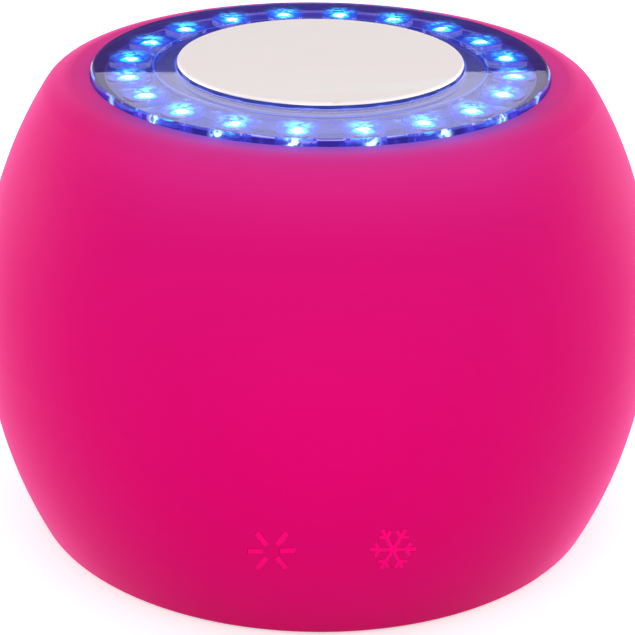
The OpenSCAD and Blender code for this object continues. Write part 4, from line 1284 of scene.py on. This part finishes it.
@dataclass
class Studio:
    """The floor, the lights and the camera.

    Attributes:
        camera_place: the camera's place in mm.
        camera_aim: the direction in which it looks.
        camera_roll: its roll in degrees.
        focal_px: its focal length in pixels of the photograph.
        near_clip: the nearest distance that it sees, in metres.
        floor_side: the side of the floor, in metres.
        floor_z: its height, just under the part's foot.
        floor_tone: its colour in every channel.
        floor_lift: the light that it adds in the eyes of the camera, mirrors and glass.
        world_strength: the strength of the room's even light.
        softboxes: the area lights.
        mirror_z: the height of the clear ring's top, which mirrors the card.
        flag_distance: the card's distance behind the part, in metres.
        flag_low_deg: the height of its lower edge over the ring, in degrees.
        flag_high_deg: the height of its upper edge.
        flag_width: its width, in metres.
        flag_tint: its colour.
    """

    camera_place: Point = (-8.69, -166.67, 92.66)
    camera_aim: Point = (0.0477, 0.9100, -0.4118)
    camera_roll: float = 0.81
    focal_px: float = 2007.5
    near_clip: float = 0.01
    floor_side: float = 6.0
    floor_z: float = -0.00005
    floor_tone: float = 0.82
    floor_lift: float = 0.5
    world_strength: float = 0.98
    softboxes: tuple[Softbox, ...] = (
        Softbox("left_softbox", (-0.335, 0.178, 0.02), (0.0, 0.0, 0.02), (0.20, 0.06), 0.70),
        Softbox("right_softbox", (0.335, 0.178, 0.02), (0.0, 0.0, 0.02), (0.20, 0.06), 0.70),
        Softbox("left_bounce", (-0.075, 0.05, 0.001), (-0.075, 0.05, 1.0), (0.05, 0.09), 0.012),
        Softbox("right_bounce", (0.075, 0.05, 0.001), (0.075, 0.05, 1.0), (0.05, 0.09), 0.012),
        Softbox("front_bounce", (0.0, -0.075, 0.001), (0.0, -0.075, 1.0), (0.10, 0.03), 0.02),
        Softbox("front_softbox", (-0.08, -0.45, 0.04), (0.0, 0.0, 0.02), (0.16, 0.07), 0.26),
        Softbox("rim_softbox", (0.30, 0.03, 0.28), (0.0, 0.0, 0.04), (0.07, 0.07), 0.05),
    )
    mirror_z: float = RING_TOP_MM * MM
    flag_distance: float = 1.2
    flag_low_deg: float = 11.5
    flag_high_deg: float = 17.4
    flag_width: float = 0.9
    flag_tint: Rgb = (0.045, 0.035, 0.11)

    def _plane(self, name: str, corners: Sequence[Point]) -> bpy.types.Object:
        """Adds a flat staged sheet.

        Args:
            name: its name.
            corners: its four corners, in metres.

        Returns:
            The sheet.
        """
        data = bpy.data.meshes.new(name)
        data.from_pydata(corners, [], [(0, 1, 2, 3)])
        sheet = bpy.data.objects.new(name, data)
        bpy.context.scene.collection.objects.link(sheet)
        return sheet

    def build_floor(self) -> None:
        """Lays the floor: pale, white to the camera, and still holding the shadow."""
        half, low = self.floor_side / 2, self.floor_z
        corners = ((-half, -half), (half, -half), (half, half), (-half, half))
        floor = self._plane("floor", [(x, y, low) for x, y in corners])
        material = bpy.data.materials.new("floor_paper")
        material.use_nodes = True
        graph = Graph(material.node_tree)
        path = graph.add("ShaderNodeLightPath")
        seen = graph.math("MAXIMUM", path.outputs["Is Camera Ray"], path.outputs["Is Glossy Ray"])
        seen = graph.math("MAXIMUM", seen, path.outputs["Is Transmission Ray"])
        tone = (self.floor_tone, self.floor_tone, self.floor_tone)
        shader = graph.add("ShaderNodeBsdfPrincipled", {"Base Color": tone, "Roughness": 0.9})
        shader.inputs["Specular IOR Level"].default_value = 0.1
        graph.feed(shader.inputs["Emission Color"], WHITE)
        graph.feed(shader.inputs["Emission Strength"], graph.math("MULTIPLY", seen, self.floor_lift))
        graph.add("ShaderNodeOutputMaterial", {"Surface": shader.outputs[0]})
        floor.data.materials.append(material)

    def build_flag(self) -> None:
        """Hangs a dark card behind the part, above the view, for the ring to mirror."""
        half, back = self.flag_width / 2, self.flag_distance
        low = self.mirror_z + back * math.tan(math.radians(self.flag_low_deg))
        high = self.mirror_z + back * math.tan(math.radians(self.flag_high_deg))
        corners = ((-half, low), (half, low), (half, high), (-half, high))
        flag = self._plane("dark_card", [(x, back, z) for x, z in corners])
        material = bpy.data.materials.new("dark_card_paper")
        material.use_nodes = True
        graph = Graph(material.node_tree)
        shader = graph.add("ShaderNodeBsdfPrincipled", {"Base Color": self.flag_tint, "Roughness": 0.8})
        shader.inputs["Specular IOR Level"].default_value = 0.0
        graph.add("ShaderNodeOutputMaterial", {"Surface": shader.outputs[0]})
        flag.data.materials.append(material)
        flag.visible_camera = False

    def build_world(self) -> None:
        """Lights the room evenly."""
        world = bpy.data.worlds.new("room")
        bpy.context.scene.world = world
        world.use_nodes = True
        graph = Graph(world.node_tree)
        back = graph.add("ShaderNodeBackground", {"Color": WHITE, "Strength": self.world_strength})
        graph.add("ShaderNodeOutputWorld", {"Surface": back.outputs[0]})

    def build_camera(self) -> None:
        """Places the camera where the photograph was taken from."""
        data = bpy.data.cameras.new("camera")
        data.sensor_width = SENSOR_WIDTH
        data.lens = self.focal_px * SENSOR_WIDTH / PHOTO_SIDE
        data.clip_start = self.near_clip
        aim = Vector(self.camera_aim).normalized()
        right = aim.cross(Vector((0, 0, 1))).normalized()
        up = right.cross(aim)
        roll = math.radians(self.camera_roll)
        level, upright = right, up
        right = level * math.cos(roll) + upright * math.sin(roll)
        up = upright * math.cos(roll) - level * math.sin(roll)
        turn = Matrix((right, up, -aim)).transposed().to_4x4()
        camera = bpy.data.objects.new("camera", data)
        camera.matrix_world = Matrix.Translation(Vector(self.camera_place) * MM) @ turn
        bpy.context.scene.collection.objects.link(camera)
        bpy.context.scene.camera = camera

    def build(self) -> None:
        """Sets up the whole studio."""
        bpy.context.scene.view_settings.view_transform = "Standard"
        self.build_world()
        self.build_floor()
        self.build_flag()
        for softbox in self.softboxes:
            softbox.hang()
        self.build_camera()


def main() -> None:
    """Builds the studio and the part's sub-assemblies in order."""
    logging.basicConfig(level=logging.INFO, format="%(name)s: %(message)s")
    Studio().build()
    wardrobe = Wardrobe()
    for assembly in (Casing, LampRing, ContactHead, Keys, Fan, Power):
        assembly(wardrobe).build()
        log.info("built %s", assembly.__name__)


if __name__ == "__main__":
    main()
